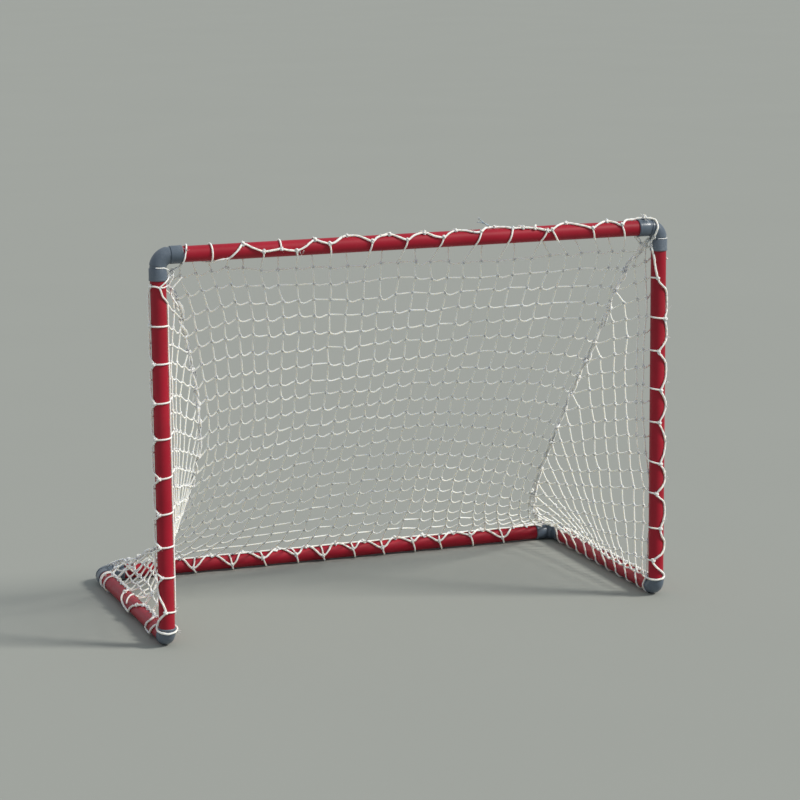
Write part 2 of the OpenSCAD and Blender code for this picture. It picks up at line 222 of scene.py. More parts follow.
def hung(table: np.ndarray, columns: np.ndarray, j: float, t: float) -> float:
    """Reads a table of shifts between its heights and columns."""
    lines = [float(np.interp(j, columns, line)) for line in table[:, 1:]]
    return float(np.interp(t, table[:, 0], lines))


def seam_tie(side: Side, row: int) -> np.ndarray:
    """The knot where a row of the back net and of a side net meet on a seam.

    Args:
        side: Which seam.
        row: The row's number.

    Returns:
        The knot's point.
    """
    t = row / MESH_ROWS
    droop = SEAM_DROOP[side.value] * droop_fade(t) + hung(HANG_ROWS, HANG_COLUMNS, side.value * 14, t)
    return seam_point(side, min(t + droop / MESH_ROWS, 0.995))[0]


def column_x(j: float, t: float) -> float:
    """The X of a column of the back net at a share of the height; every column stays inside.

    Args:
        j: The column's number.
        t: The share of the height, from the top.

    Returns:
        The X in metres.
    """
    side = Side.RIGHT if j > 0 else Side.LEFT
    middle = math.sin(math.pi * t)
    if side is Side.RIGHT:
        last, margin, squeeze = LAST_RIGHT, 0.018 + 0.07 * (1 - middle) ** 1.5, 0.02 + 0.08 * middle
    else:
        last, margin, squeeze = LAST_LEFT, 0.040, 0.02 + 0.11 * middle
    reach = abs(seam_point(side, t)[0, 0]) - margin
    f = abs(j) / last
    return side.value * reach * (f + squeeze * f * (1 - f * f))


def back_point(u: np.ndarray | float, t: np.ndarray | float) -> np.ndarray:
    """Points of the back net's surface.

    Args:
        u: Shares of the width, from the left seam to the right one.
        t: Shares of the height, from the crossbar to the rear bar.

    Returns:
        One row of three numbers for each pair.
    """
    u = np.atleast_1d(np.asarray(u, float))[:, None]
    left, right = seam_point(Side.LEFT, t), seam_point(Side.RIGHT, t)
    rise = on_route(MIDDLE_ROUTE, t) * MM - (left + right) / 2
    rise[:, 0] = 0
    return left + (right - left) * u + 4 * u * (1 - u) * rise


def unit(v: np.ndarray) -> np.ndarray:
    """The vectors at unit length."""
    return v / np.maximum(np.linalg.norm(v, axis=-1, keepdims=True), 1e-12)


def run_lengths(path: np.ndarray) -> np.ndarray:
    """The distance along a path at each of its points."""
    return np.concatenate([[0], np.cumsum(np.linalg.norm(np.diff(path, axis=0), axis=1))])


# ---------------------------------------------------------------------------
# Shader helpers
# ---------------------------------------------------------------------------


class Nodes:
    """A short way to add and join shader nodes in one tree."""

    def __init__(self, tree: bpy.types.NodeTree) -> None:
        """Takes the tree that the nodes go into."""
        self.tree = tree

    def add(self, kind: str, **values: object) -> bpy.types.Node:
        """Adds a node.

        Args:
            kind: The node's Blender type name.
            **values: Properties of the node; a name with in_ before it sets that input.

        Returns:
            The new node.
        """
        node = self.tree.nodes.new(kind)
        for name, value in values.items():
            if name.startswith("in_"):
                key = name[3:]
                node.inputs[int(key) if key.isdigit() else key.replace("_", " ")].default_value = value
            else:
                setattr(node, name, value)
        return node

    def join(self, source: bpy.types.NodeSocket, target: bpy.types.NodeSocket) -> None:
        """Links an output to an input."""
        self.tree.links.new(source, target)

    def math(self, operation: str, a: object, b: object = 0.0) -> bpy.types.NodeSocket:
        """A Math node on numbers or sockets, and its output.

        Args:
            operation: The operation's Blender name.
            a: The first value.
            b: The second value.

        Returns:
            The result.
        """
        node = self.add("ShaderNodeMath", operation=operation)
        for socket, value in zip(node.inputs, (a, b)):
            if isinstance(value, bpy.types.NodeSocket):
                self.join(value, socket)
            else:
                socket.default_value = value
        return node.outputs[0]

    def noise(self, coordinates: bpy.types.NodeSocket, scale: float, detail: float = 3.0,
              roughness: float = 0.5) -> bpy.types.NodeSocket:
        """A noise texture's factor.

        Args:
            coordinates: Where it is read.
            scale: Its scale.
            detail: Its octaves.
            roughness: The weight of the finer octaves.

        Returns:
            The factor.
        """
        node = self.add("ShaderNodeTexNoise", in_Scale=scale, in_Detail=detail, in_Roughness=roughness)
        self.join(coordinates, node.inputs["Vector"])
        return node.outputs["Fac"]

    def stretch(self, coordinates: bpy.types.NodeSocket, scale: tuple) -> bpy.types.NodeSocket:
        """Coordinates scaled by a Mapping node.

        Args:
            coordinates: The coordinates.
            scale: Three factors.

        Returns:
            The scaled coordinates.
        """
        node = self.add("ShaderNodeMapping", in_Scale=scale)
        self.join(coordinates, node.inputs["Vector"])
        return node.outputs[0]

    def ramp(self, factor: bpy.types.NodeSocket, stops: Sequence[tuple]) -> bpy.types.NodeSocket:
        """A colour ramp.

        Args:
            factor: The driving socket.
            stops: Pairs of a position and a grey level or a colour.

        Returns:
            The ramp's colour output.
        """
        node = self.add("ShaderNodeValToRGB")
        elements = node.color_ramp.elements
        while len(elements) < len(stops):
            elements.new(0.5)
        for element, (position, value) in zip(elements, stops):
            element.position = position
            colour = (value,) * 3 if isinstance(value, (int, float)) else value
            element.color = (*colour, 1.0)
        self.join(factor, node.inputs[0])
        return node.outputs[0]

    def mix(self, factor: object, a: object, b: object, blend: str = "MIX") -> bpy.types.NodeSocket:
        """A colour mix of two colours or sockets.

        Args:
            factor: The share of the second colour.
            a: The first colour.
            b: The second colour.
            blend: How they are blended.

        Returns:
            The mixed colour.
        """
        node = self.add("ShaderNodeMix", data_type="RGBA", blend_type=blend)
        for socket, value in ((node.inputs[0], factor), (node.inputs[6], a), (node.inputs[7], b)):
            if isinstance(value, bpy.types.NodeSocket):
                self.join(value, socket)
            elif isinstance(value, (int, float)):
                socket.default_value = value
            else:
                socket.default_value = (*value, 1.0)
        return node.outputs[2]


def new_group(name: str, inputs: dict[str, float], outputs: dict[str, str]) -> tuple:
    """Starts a shader node group.

    Args:
        name: The group's name.
        inputs: Float inputs and their default values.
        outputs: Output names and their socket types, after NodeSocket.

    Returns:
        The group, a Nodes helper, its input node's outputs and its output node's inputs.
    """
    tree = bpy.data.node_groups.new(name, "ShaderNodeTree")
    tree.interface.new_socket("Vector", in_out="INPUT", socket_type="NodeSocketVector")
    for key, value in inputs.items():
        socket = tree.interface.new_socket(key, in_out="INPUT", socket_type="NodeSocketFloat")
        socket.default_value = value
    for key, kind in outputs.items():
        tree.interface.new_socket(key, in_out="OUTPUT", socket_type="NodeSocket" + kind)
    nodes = Nodes(tree)
    start = nodes.add("NodeGroupInput")
    end = nodes.add("NodeGroupOutput")
    return tree, nodes, start.outputs, end.inputs


def build_wear_group() -> bpy.types.NodeTree:
    """Dust, rubs and fine scratches on moulded plastic.

    Returns:
        A group with masks for dust and rubs and a height for scratches and moulding ripple.
    """
    tree, n, start, end = new_group(
        "Plastic wear",
        {"Dust": 0.4, "Rub": 0.4},
        {"Dust": "Float", "Rub": "Float", "Height": "Float"},
    )
    place = start["Vector"]
    cloud = n.noise(place, 9.0, 5.0, 0.62)
    fine = n.noise(place, 260.0, 2.0, 0.5)
    dust = n.math(
        "MULTIPLY", n.ramp(cloud, [(0.42, 0.0), (0.68, 1.0)]), n.ramp(fine, [(0.35, 0.25), (0.7, 1.0)])
    )
    n.join(n.math("MULTIPLY", dust, start["Dust"]), end["Dust"])
    streaks = n.noise(n.stretch(place, (34.0, 34.0, 34.0)), 1.0, 6.0, 0.72)
    patches = n.noise(place, 4.3, 2.0, 0.5)
    rub = n.math(
        "MULTIPLY", n.ramp(streaks, [(0.57, 0.0), (0.63, 1.0)]), n.ramp(patches, [(0.48, 0.0), (0.62, 1.0)])
    )
    n.join(n.math("MULTIPLY", rub, start["Rub"]), end["Rub"])
    ripple = n.noise(place, 55.0, 2.0, 0.45)
    grain = n.noise(place, 900.0, 1.0, 0.5)
    n.join(n.math("ADD", n.math("MULTIPLY", ripple, 0.6), n.math("MULTIPLY", grain, 0.12)), end["Height"])
    return tree


def build_lay_group() -> bpy.types.NodeTree:
    """The twisted strands of a cord, driven by a UV map in metres along and turns round it.

    Returns:
        A group with the strands' height and a mask of the grooves between them, which the twine materials
        darken as painted shade.
    """
    tree, n, start, end = new_group(
        "Twisted lay",
        {"Pitch": 0.01, "Strands": 3.0, "Fuzz": 0.3},
        {"Height": "Float", "Groove": "Float"},
    )
    split = n.add("ShaderNodeSeparateXYZ")
    n.join(start["Vector"], split.inputs[0])
    turns = n.math("DIVIDE", split.outputs["X"], start["Pitch"])
    phase = n.math("ADD", n.math("MULTIPLY", split.outputs["Y"], start["Strands"]), turns)
    wave = n.math("SINE", n.math("MULTIPLY", phase, math.tau))
    rounded = n.math("POWER", n.math("ADD", n.math("MULTIPLY", wave, 0.5), 0.5), 0.6)
    fibre_place = n.add("ShaderNodeCombineXYZ")
    n.join(n.math("MULTIPLY", split.outputs["X"], 900.0), fibre_place.inputs[0])
    n.join(n.math("MULTIPLY", phase, 7.0), fibre_place.inputs[1])
    fibres = n.noise(fibre_place.outputs[0], 1.0, 3.0, 0.6)
    n.join(n.math("ADD", rounded, n.math("MULTIPLY", fibres, start["Fuzz"])), end["Height"])
    # The groove mask drives painted shade: the twine materials darken the grooves with it.
    n.join(n.math("SUBTRACT", 1.0, rounded), end["Groove"])
    return tree


def place_group(nodes: Nodes, group: bpy.types.NodeTree, vector: bpy.types.NodeSocket,
                **values: float) -> bpy.types.NodeSocket:
    """Places a shared group in a material.

    Args:
        nodes: The material's node helper.
        group: The shared group.
        vector: The coordinates that it reads.
        **values: Its float inputs.

    Returns:
        The group node's outputs.
    """
    node = nodes.add("ShaderNodeGroup", node_tree=group)
    nodes.join(vector, node.inputs["Vector"])
    for key, value in values.items():
        node.inputs[key].default_value = value
    return node.outputs


def start_material(name: str) -> tuple[bpy.types.Material, Nodes, bpy.types.Node, bpy.types.Node]:
    """An empty node material.

    Args:
        name: The material's name.

    Returns:
        The material, a Nodes helper, its Principled shader and its coordinates node.
    """
    material = bpy.data.materials.new(name)
    material.use_nodes = True
    material.node_tree.nodes.clear()
    nodes = Nodes(material.node_tree)
    shader = nodes.add("ShaderNodeBsdfPrincipled")
    out = nodes.add("ShaderNodeOutputMaterial")
    nodes.join(shader.outputs[0], out.inputs[0])
    return material, nodes, shader, nodes.add("ShaderNodeTexCoord")


@dataclass(frozen=True)
class PlasticFinish:
    """Coloured plastic with dust, rubs and a slight unevenness of colour."""

    name: str
    colour: tuple[float, float, float]
    deep: tuple[float, float, float]
    dusty: tuple[float, float, float]
    roughness: float
    dust: float
    rub: float
    coat: float
    ripple: float
    speckle: float = 0.0

    def build(self, wear: bpy.types.NodeTree) -> bpy.types.Material:
        """Builds the material.

        Args:
            wear: The shared wear group.

        Returns:
            The material.
        """
        material, n, shader, coords = start_material(self.name)
        place = coords.outputs["Object"]
        worn = place_group(n, wear, place, Dust=self.dust, Rub=self.rub)
        tone = n.noise(place, 6.0, 4.0, 0.55)
        colour = n.mix(n.ramp(tone, [(0.35, 0.0), (0.7, 1.0)]), self.deep, self.colour)
        if self.speckle:
            flecks = n.ramp(n.noise(place, 620.0, 2.0, 0.6), [(0.6, 0.0), (0.72, self.speckle)])
            colour = n.mix(flecks, colour, self.dusty)
        colour = n.mix(worn["Dust"], colour, self.dusty)
        n.join(colour, shader.inputs["Base Color"])
        rough = n.math("ADD", n.math("MULTIPLY", worn["Dust"], 0.3), n.math("MULTIPLY", worn["Rub"], 0.22))
        n.join(n.math("ADD", rough, self.roughness), shader.inputs["Roughness"])
        shader.inputs["Specular IOR Level"].default_value = 0.3
        shader.inputs["Coat Weight"].default_value = self.coat
        shader.inputs["Coat Roughness"].default_value = 0.16
        bump = n.add("ShaderNodeBump", in_Strength=self.ripple, in_Distance=0.0006)
        n.join(worn["Height"], bump.inputs["Height"])
        n.join(bump.outputs[0], shader.inputs["Normal"])
        return material


@dataclass(frozen=True)
class TwistFinish:
    """Twisted fibre: twine, rope or seam cord, with painted shade darkening the grooves between strands."""

    name: str
    light: tuple[float, float, float]
    # Soil colour for the dirty patches; dimmed, it is also the painted shade in the grooves.
    soil_and_groove_shade: tuple[float, float, float]
    pitch: float
    strands: int
    depth: float
    soiling: float

    def build(self, lay: bpy.types.NodeTree) -> bpy.types.Material:
        """Builds the material.

        Args:
            lay: The shared group of twisted strands.

        Returns:
            The material.
        """
        material, n, shader, coords = start_material(self.name)
        twist = place_group(
            n, lay, coords.outputs["UV"], Pitch=self.pitch, Strands=float(self.strands), Fuzz=0.35
        )
        place = coords.outputs["Object"]
        patches = n.noise(place, 11.0, 4.0, 0.6)
        soil = n.math("MULTIPLY", n.ramp(patches, [(0.42, 0.0), (0.72, 1.0)]), self.soiling)
        colour = n.mix(soil, self.light, self.soil_and_groove_shade)
        # Painted shade: the grooves between the strands are darkened towards the dimmed soil colour.
        groove_shade = n.math("MULTIPLY", twist["Groove"], 0.16)
        colour = n.mix(groove_shade, colour, tuple(c * 0.55 for c in self.soil_and_groove_shade))
        n.join(colour, shader.inputs["Base Color"])
        shader.inputs["Roughness"].default_value = 0.82
        shader.inputs["Subsurface Weight"].default_value = 1.0
        shader.inputs["Subsurface Radius"].default_value = (1.0, 0.95, 0.85)
        shader.inputs["Subsurface Scale"].default_value = 0.004
        shader.inputs["Sheen Weight"].default_value = 0.25
        shader.inputs["Sheen Roughness"].default_value = 0.5
        bump = n.add("ShaderNodeBump", in_Strength=0.9, in_Distance=self.depth)
        n.join(twist["Height"], bump.inputs["Height"])
        n.join(bump.outputs[0], shader.inputs["Normal"])
        return material


class Finishes:
    """Every material of the goal."""

    def __init__(self) -> None:
        """Builds the shared groups and the materials."""
        wear, lay = build_wear_group(), build_lay_group()
        self.tube = PlasticFinish(
            "Crimson tube", (0.38, 0.004, 0.022), (0.30, 0.0035, 0.017), (0.46, 0.11, 0.11),
            roughness=0.42, dust=0.10, rub=0.5, coat=0.05, ripple=0.10,
        ).build(wear)
        self.elbow = PlasticFinish(
            "Slate elbow", (0.118, 0.150, 0.190), (0.086, 0.112, 0.146), (0.38, 0.41, 0.44),
            roughness=0.36, dust=0.30, rub=0.5, coat=0.18, ripple=0.22, speckle=0.25,
        ).build(wear)
        self.twine = TwistFinish(
            "Net twine", (0.96, 0.94, 0.87), (0.84, 0.81, 0.72), 0.011, 2, 0.00018, 0.30
        ).build(lay)
        self.cord = TwistFinish(
            "Border rope", (0.95, 0.93, 0.87), (0.82, 0.79, 0.72), 0.021, 3, 0.0005, 0.35
        ).build(lay)
        self.seam = TwistFinish(
            "Seam cord", (0.96, 0.94, 0.90), (0.82, 0.80, 0.74), 0.020, 3, 0.0005, 0.4
        ).build(lay)
        self.frayed = TwistFinish(
            "Frayed blue end", (0.36, 0.45, 0.52), (0.25, 0.32, 0.37), 0.012, 3, 0.0004, 0.4
        ).build(lay)


# ---------------------------------------------------------------------------
# Swept strands
# ---------------------------------------------------------------------------


def linked_edges(verts: Iterable[bmesh.types.BMVert]) -> list[bmesh.types.BMEdge]:
    """The edges at some vertices, each once."""
    return list(dict.fromkeys(e for v in verts for e in v.link_edges))


@dataclass
class StrandShape:
    """A straight strand, ready to be laid along a path.

    A vertex is known by its ring and its place round the ring, and every corner of a face by
    the same two numbers, the last one running on past the first vertex.
    """

    sides: int
    rings: int
    ring_of: np.ndarray = field(init=False)
    side_of: np.ndarray = field(init=False)
    faces: list[list[int]] = field(init=False)

    def __post_init__(self) -> None:
        """Extrudes a circle ring by ring and closes both ends."""
        bm = bmesh.new()
        made = bmesh.ops.create_circle(bm, cap_ends=True, segments=self.sides, radius=1.0)
        rim = linked_edges(made["verts"])
        for _ in range(self.rings - 1):
            grown = bmesh.ops.extrude_edge_only(bm, edges=rim)["geom"]
            verts = [g for g in grown if isinstance(g, bmesh.types.BMVert)]
            bmesh.ops.translate(bm, verts=verts, vec=(0, 0, 1))
            own = set(verts)
            rim = [
                g for g in grown
                if isinstance(g, bmesh.types.BMEdge) and g.verts[0] in own and g.verts[1] in own
            ]
        bmesh.ops.holes_fill(bm, edges=rim, sides=self.sides)
        bmesh.ops.recalc_face_normals(bm, faces=bm.faces)
        bm.verts.index_update()
        self.ring_of = np.array([round(v.co.z) for v in bm.verts])
        angles = np.array([math.atan2(v.co.y, v.co.x) for v in bm.verts]) / math.tau
        self.side_of = np.round(angles * self.sides).astype(int) % self.sides
        self.faces = [[v.index for v in f.verts] for f in bm.faces]
        bm.free()


_SHAPES: dict[tuple[int, int], StrandShape] = {}


def strand_shape(sides: int, rings: int) -> StrandShape:
    """The straight strand with that many sides and rings, built once.

    Args:
        sides: Faces round it.
        rings: Rings along it.

    Returns:
        The shape.
    """
    key = (sides, rings)
    if key not in _SHAPES:
        _SHAPES[key] = StrandShape(sides, rings)
    return _SHAPES[key]


def place_piece(mesh: bpy.types.Mesh, node: str) -> bpy.types.Object:
    """Turns a mesh into a smooth piece of the goal, riding on the frame.

    Args:
        mesh: Its finished mesh, whose name it takes.
        node: The solid that it stands for, or nothing.

    Returns:
        The piece.
    """
    mesh.polygons.foreach_set("use_smooth", [True] * len(mesh.polygons))
    piece = bpy.data.objects.new(mesh.name, mesh)
    bpy.context.scene.collection.objects.link(piece)
    if node:
        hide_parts(node)
    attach(piece, BODY)
    LOG.info("%s: %d faces", mesh.name, len(mesh.polygons))
    return piece


class Section(Enum):
    """The outline of a cord's cross-section."""

    ROUND = 0
    LAID = 3


class StrandMesh:
    """Collects swept strands into one mesh with a UV map in metres along and turns round."""

    def __init__(self, name: str) -> None:
        """Names the piece that the strands become.

        Args:
            name: The piece's name.
        """
        self.name = name
        self.points: list[np.ndarray] = []
        self.faces: list[list[int]] = []
        self.uvs: list[np.ndarray] = []
        self.count = 0
        self.paths: list[float] = []

    def lay(self, path: np.ndarray, radius: float | np.ndarray, sides: int = 8,
            section: Section = Section.ROUND, pitch: float = 0.02, closed_tip: bool = False) -> None:
        """Lays one strand along a path.

        Args:
            path: Its points, one row each.
            radius: One radius, or one for each point.
            sides: Faces round the strand.
            section: Its outline; a laid cord has lobes that turn along it.
            pitch: Length in which the lobes turn once.
            closed_tip: Whether the last ring shrinks almost to a point.
        """
        path = np.asarray(path, float)
        count = len(path)
        shape = strand_shape(sides, count)
        tangent = unit(np.gradient(path, axis=0))
        normal = np.zeros_like(path)
        helper = np.array([0.0, 0.0, 1.0]) if abs(tangent[0][2]) < 0.9 else np.array([1.0, 0.0, 0.0])
        normal[0] = unit(np.cross(tangent[0], helper))
        for i in range(1, count):
            moved = normal[i - 1] - tangent[i] * np.dot(normal[i - 1], tangent[i])
            normal[i] = unit(moved)
        binormal = np.cross(tangent, normal)
        length = run_lengths(path)
        self.paths.append(float(length[-1]))
        radii = np.broadcast_to(np.asarray(radius, float), (count,)).copy()
        if closed_tip:
            radii[-1] *= 0.15
        ring, step = shape.ring_of, shape.side_of
        angle = math.tau * step / sides
        reach = radii[ring]
        if section is Section.LAID:
            turn = angle * 3 + math.tau * length[ring] / pitch
            reach = reach * (0.86 + 0.14 * np.abs(np.cos(turn / 2)) * 1.6 - 0.06)
        where = (
            path[ring]
            + (reach * np.cos(angle))[:, None] * normal[ring]
            + (reach * np.sin(angle))[:, None] * binormal[ring]
        )
        base = self.count
        self.points.append(where)
        for face in shape.faces:
            self.faces.append([base + v for v in face])
            sides_here = step[face].astype(float)
            if sides_here.max() - sides_here.min() > sides / 2:
                sides_here[sides_here == 0] = sides
            self.uvs.append(np.column_stack([length[ring[face]], sides_here / sides]))
        self.count += len(where)

    def stamp(self, shape: "KnotShape", matrix: np.ndarray, at: np.ndarray) -> None:
        """Adds a ready shape, turned by a matrix and moved to a point.

        Args:
            shape: The shape.
            matrix: A 3 by 3 matrix that turns and scales it.
            at: Where it goes.
        """
        base = self.count
        self.points.append(shape.points @ matrix.T + at)
        self.faces.extend([base + v for v in face] for face in shape.faces)
        self.uvs.extend(shape.uv)
        self.count += len(shape.points)

    def build(self, material: bpy.types.Material, slot: Slot, node: str = "") -> bpy.types.Object:
        """Makes the object, pressed flat where it passes under a bar, riding on the frame.

        Args:
            material: Its material.
            slot: Not used.
            node: The solid that it stands for, if it has one.

        Returns:
            The finished piece.
        """
        points = np.vstack(self.points)
        height = points[:, 2]
        points[:, 2] = np.where(height < PRESSED, PRESSED + (height - PRESSED) * PRESSED_SHARE, height)
        mesh = bpy.data.meshes.new(self.name)
        mesh.from_pydata(points.tolist(), [], self.faces)
        layer = mesh.uv_layers.new(name="Lay")
        layer.data.foreach_set("uv", np.vstack(self.uvs).astype(np.float32).ravel())
        mesh.materials.append(material)
        mesh.validate()
        return place_piece(mesh, node)


class KnotShape:
    """A small overhand-like knot of twine, about its own middle."""

    def __init__(self, radius: float, thickness: float, points: int = 21, sides: int = 5) -> None:
        """Sweeps a closed knot.

        Args:
            radius: Distance of its loops from its middle.
            thickness: Radius of its strand.
            points: Points along the strand.
            sides: Faces round the strand.
        """
        f = np.linspace(0, math.tau, points)
        ring = radius * (1 + 0.46 * np.cos(3 * f))
        path = np.column_stack([ring * np.cos(2 * f), ring * np.sin(2 * f), 0.62 * radius * np.sin(3 * f)])
        sweep = StrandMesh("knot")
        sweep.lay(path, thickness, sides)
        self.points = sweep.points[0]
        self.faces = sweep.faces
        self.uv = sweep.uvs


def frame_matrix(along: np.ndarray, outward: np.ndarray, scale: float, turn: float) -> np.ndarray:
    """A turned and scaled base whose third axis is outward.

    Args:
        along: A direction that the first axis follows.
        outward: The third axis.
        scale: Size factor.
        turn: Extra turn about the third axis, in radians.

    Returns:
        A 3 by 3 matrix of column vectors.
    """
    z = unit(outward)
    x = unit(along - z * np.dot(along, z))
    y = np.cross(z, x)
    c, s = math.cos(turn), math.sin(turn)
    return np.column_stack([x * c + y * s, y * c - x * s, z]) * scale


# ---------------------------------------------------------------------------
# Twine between knots
# ---------------------------------------------------------------------------

TWINE_R = 0.0027
LEG_R = 0.0028
# Height to which a strand is pressed under a bar, and the share of its depth that is kept
PRESSED = 0.0002
PRESSED_SHARE = 0.05
ROPE_R = 0.0034
# Distance from a tube's axis of a twine that passes round it, and from a hub's of one beside it
LEG_REACH = TUBE_R + LEG_R + 0.0003
HUB_TOUCH = HUB_R + 0.001
SUB_POINTS = np.array([0.14, 0.32, 0.5, 0.68, 0.86])
DOWN = np.array([0.0, 0.0, -1.0])


def smooth_noise(rng: np.random.Generator, shape: tuple[int, int], reach: float) -> np.ndarray:
    """Random numbers that change slowly over a grid, with a spread of about 1.

    Args:
        rng: The random source.
        shape: Rows and columns of the grid.
        reach: Grid steps over which the numbers stay alike.

    Returns:
        A grid of numbers.
    """
    pad = int(3 * reach) + 1
    raw = rng.standard_normal((shape[0] + 2 * pad, shape[1] + 2 * pad))
    k = np.arange(-pad, pad + 1)
    kernel = np.exp(-0.5 * (k / reach) ** 2)
    kernel /= math.sqrt((kernel**2).sum())
    for axis in (0, 1):
        raw = np.apply_along_axis(lambda row: np.convolve(row, kernel, "same"), axis, raw)
    return raw[pad:-pad, pad:-pad]


def sagging(a: np.ndarray, b: np.ndarray, sag: float, bend: np.ndarray, skew: float = 0.0) -> np.ndarray:
    """Points between two knots on a slack twine.

    Args:
        a: The first knot.
        b: The second knot.
        sag: How far its middle hangs down.
        bend: A sideways offset of its middle.
        skew: How far the sag is drawn towards the first knot, from -1 to 1.

    Returns:
        The points between the knots, without them.
    """
    f = SUB_POINTS[:, None]
    hump = 4 * f * (1 - f) * (1 + skew * (1 - 2 * f) * 1.3)
    return a + (b - a) * f + hump * (sag * DOWN + bend)


def strung(start: np.ndarray, stops: Sequence[np.ndarray],
           hang: Callable[[np.ndarray, np.ndarray], tuple], end: Sequence[np.ndarray] = ()) -> np.ndarray:
    """Points of a twine from knot to knot.

    Args:
        start: Its points up to the first knot.
        stops: The knots, in order.
        hang: Gives the sag, the bend and the skew between two knots.
        end: Its points past the last knot.

    Returns:
        All its points.
    """
    parts = [start]
    for a, b in zip(stops, stops[1:]):
        parts += [sagging(a, b, *hang(a, b)), b[None, :]]
    return np.vstack([*parts, *end])


def slack_sag(a: np.ndarray, b: np.ndarray, rest: float) -> float:
    """The sag of a twine of a given length between two points.

    Args:
        a: One end.
        b: The other end.
        rest: The twine's length.

    Returns:
        The sag.
    """
    span = float(np.linalg.norm(b - a))
    spare = max(rest - span, 0.0)
    return math.sqrt(0.375 * spare * rest)


# ---------------------------------------------------------------------------
# Ties: where the twines pull the ropes
# ---------------------------------------------------------------------------

# Crossbar rope: distance from the middle in mm and angle; it starts under the bar at the left.
CROSSBAR_ROPE = [
    (-733, 300), (-722, 310), (-700, 318), (-680, 310), (-660, 285), (-648, 265), (-641, 249),
    (-624, 228), (-600, 220),
    (-588, 200), (-570, 165), (-551, 127), (-528, 154), (-508, 172), (-492, 184), (-467, 181),
    (-437, 174), (-420, 182), (-389, 190), (-364, 172), (-347, 148), (-328, 125), (-313, 140),
    (-284, 159), (-263, 147), (-242, 116), (-222, 97), (-194, 105), (-173, 134), (-149, 158),
    (-131, 134), (-115, 122), (-88, 113), (-62, 142), (-36, 162), (-12, 134), (22, 116),
    (50, 147), (81, 159), (100, 135), (126, 111), (155, 117), (181, 135), (206, 134), (231, 90),
    (257, 85), (289, 101), (311, 121), (346, 121), (384, 132), (422, 153), (438, 150), (467, 113),
    (493, 90), (525, 119), (552, 139), (574, 155), (597, 130), (629, 99), (655, 122), (674, 143),
    (700, 92), (727, 84),
]
# Root, fork and tips of the frayed blue-grey end, in metres
BLUE_END = np.array([
    (0.2383, -0.420, 1.2240), (0.2215, -0.420, 1.2335), (0.2058, -0.420, 1.2469), (0.2008, -0.420, 1.2380),
])
CROSSBAR_HOOKS = {
    -9: -492, -7: -389, -5: -284, -3: -149, -1: -36, 1: 81, 3: 206, 5: 311, 7: 422, 9: 438,
    11: 574, 13: 674,
}
CROSSBAR_CRESTS = {
    -10: -551, -8: -437, -6: -328, -4: -222, -2: -88, 0: 22, 2: 126, 4: 257, 6: 346, 8: 384,
    10: 493, 12: 629,
}
REAR_ROPE_HOOKS = [
    (-13, -702, 178), (-11, -600, 184), (-9, -504, 191), (-7, -370, 193), (-5, -261, 168), (-3, -144, 165),
    (-1, -49, 190), (1, 59, 163), (3, 163, 174), (5, 275, 150), (7, 371, 165), (9, 487, 143),
    (11, 605, 184),
]
REAR_ROPE_CRESTS = [
    (-12, -650), (-10, -548), (-8, -439), (-6, -326), (-4, -203), (-2, -101), (0, 2), (2, 100), (4, 216),
    (6, 317), (8, 423), (10, 532), (12, 654),
]
LEFT_POST_LEGS = [
    (1104, -22), (983, -4), (870, -32), (751, -30), (642, -31), (523, -49), (413, -43), (312, -43),
    (220, -51), (113, -70),
]
LEFT_FIRST_LEG = [
    (1104, -22), (1099, -81), (1074, -102), (1062, -125), (1052, -150), (1048, -192),
]
LEFT_FOOT_ROPE = [
    (113, -70), (104, -55), (90, -25), (75, 2, 27.8), (62, 9, 30.8), (54, -5, 30.6), (50, -41, 30.0),
    (47, -81, 29.4), (48, -105, 29.5), (51, -140, 30.2), (56, -180, 31.0), (62, -225, 31.4), (65, -270, 31.4),
    (62, -315, 31.4), (57, -352, 31.0),
]
LEFT_SIDE_ROPE = [
    (-362, 100), (-350, 75), (-335, 30), (-318, -5), (-295, -32), (-270, -30), (-262, -10), (-268, 15),
    (-280, 55), (-268, 90), (-240, 106), (-205, 111), (-170, 107), (-145, 112), (-128, 95), (-105, 62),
    (-75, 25), (-52, -12), (-35, -22), (10, -5), (45, 25), (62, 70), (80, 105), (120, 110), (165, 106),
    (210, 112), (255, 107), (292, 110),
]
RIGHT_SIDE_ROPE = [
    (-362, 92), (-330, 80), (-290, 90), (-240, 77), (-190, 88), (-140, 80), (-90, 92), (-40, 78),
    (10, 88), (60, 77), (110, 90), (160, 80), (210, 91), (250, 79), (290, 90),
]
RIGHT_POST_ROPE = [
    (1108, -150, 28.4), (1100, -144), (1064, -133), (1034, -118), (1019, -104), (1009, -84), (996, -57),
    (980, -42), (935, -30), (904, -62), (874, -42), (844, -35), (801, -107), (786, -90), (761, -50),
    (738, -40), (712, -50), (676, -90), (657, -72), (637, -50), (621, -42), (595, -70), (571, -100),
    (553, -85), (528, -60), (502, -42), (470, -60), (437, -90), (418, -65), (389, -42), (369, -60),
    (340, -115), (327, -95), (308, -55), (275, -42), (250, -60), (225, -84), (201, -75), (175, -42),
    (146, -65), (120, -133), (100, -112), (82, -70), (68, -42), (62, -60, 29.5),
    (59, -90, 30.8), (58, -130, 30.9), (60, -170, 31.0), (63, -225, 31.2), (66, -270, 31.2), (62, -315, 31.2),
    (57, -355, 30.8),
]
RIGHT_POST_LEGS = [(1034, -118), (904, -62), (801, -107), (676, -90), (571, -100), (437, -90),
                   (340, -115), (225, -84), (120, -133)]


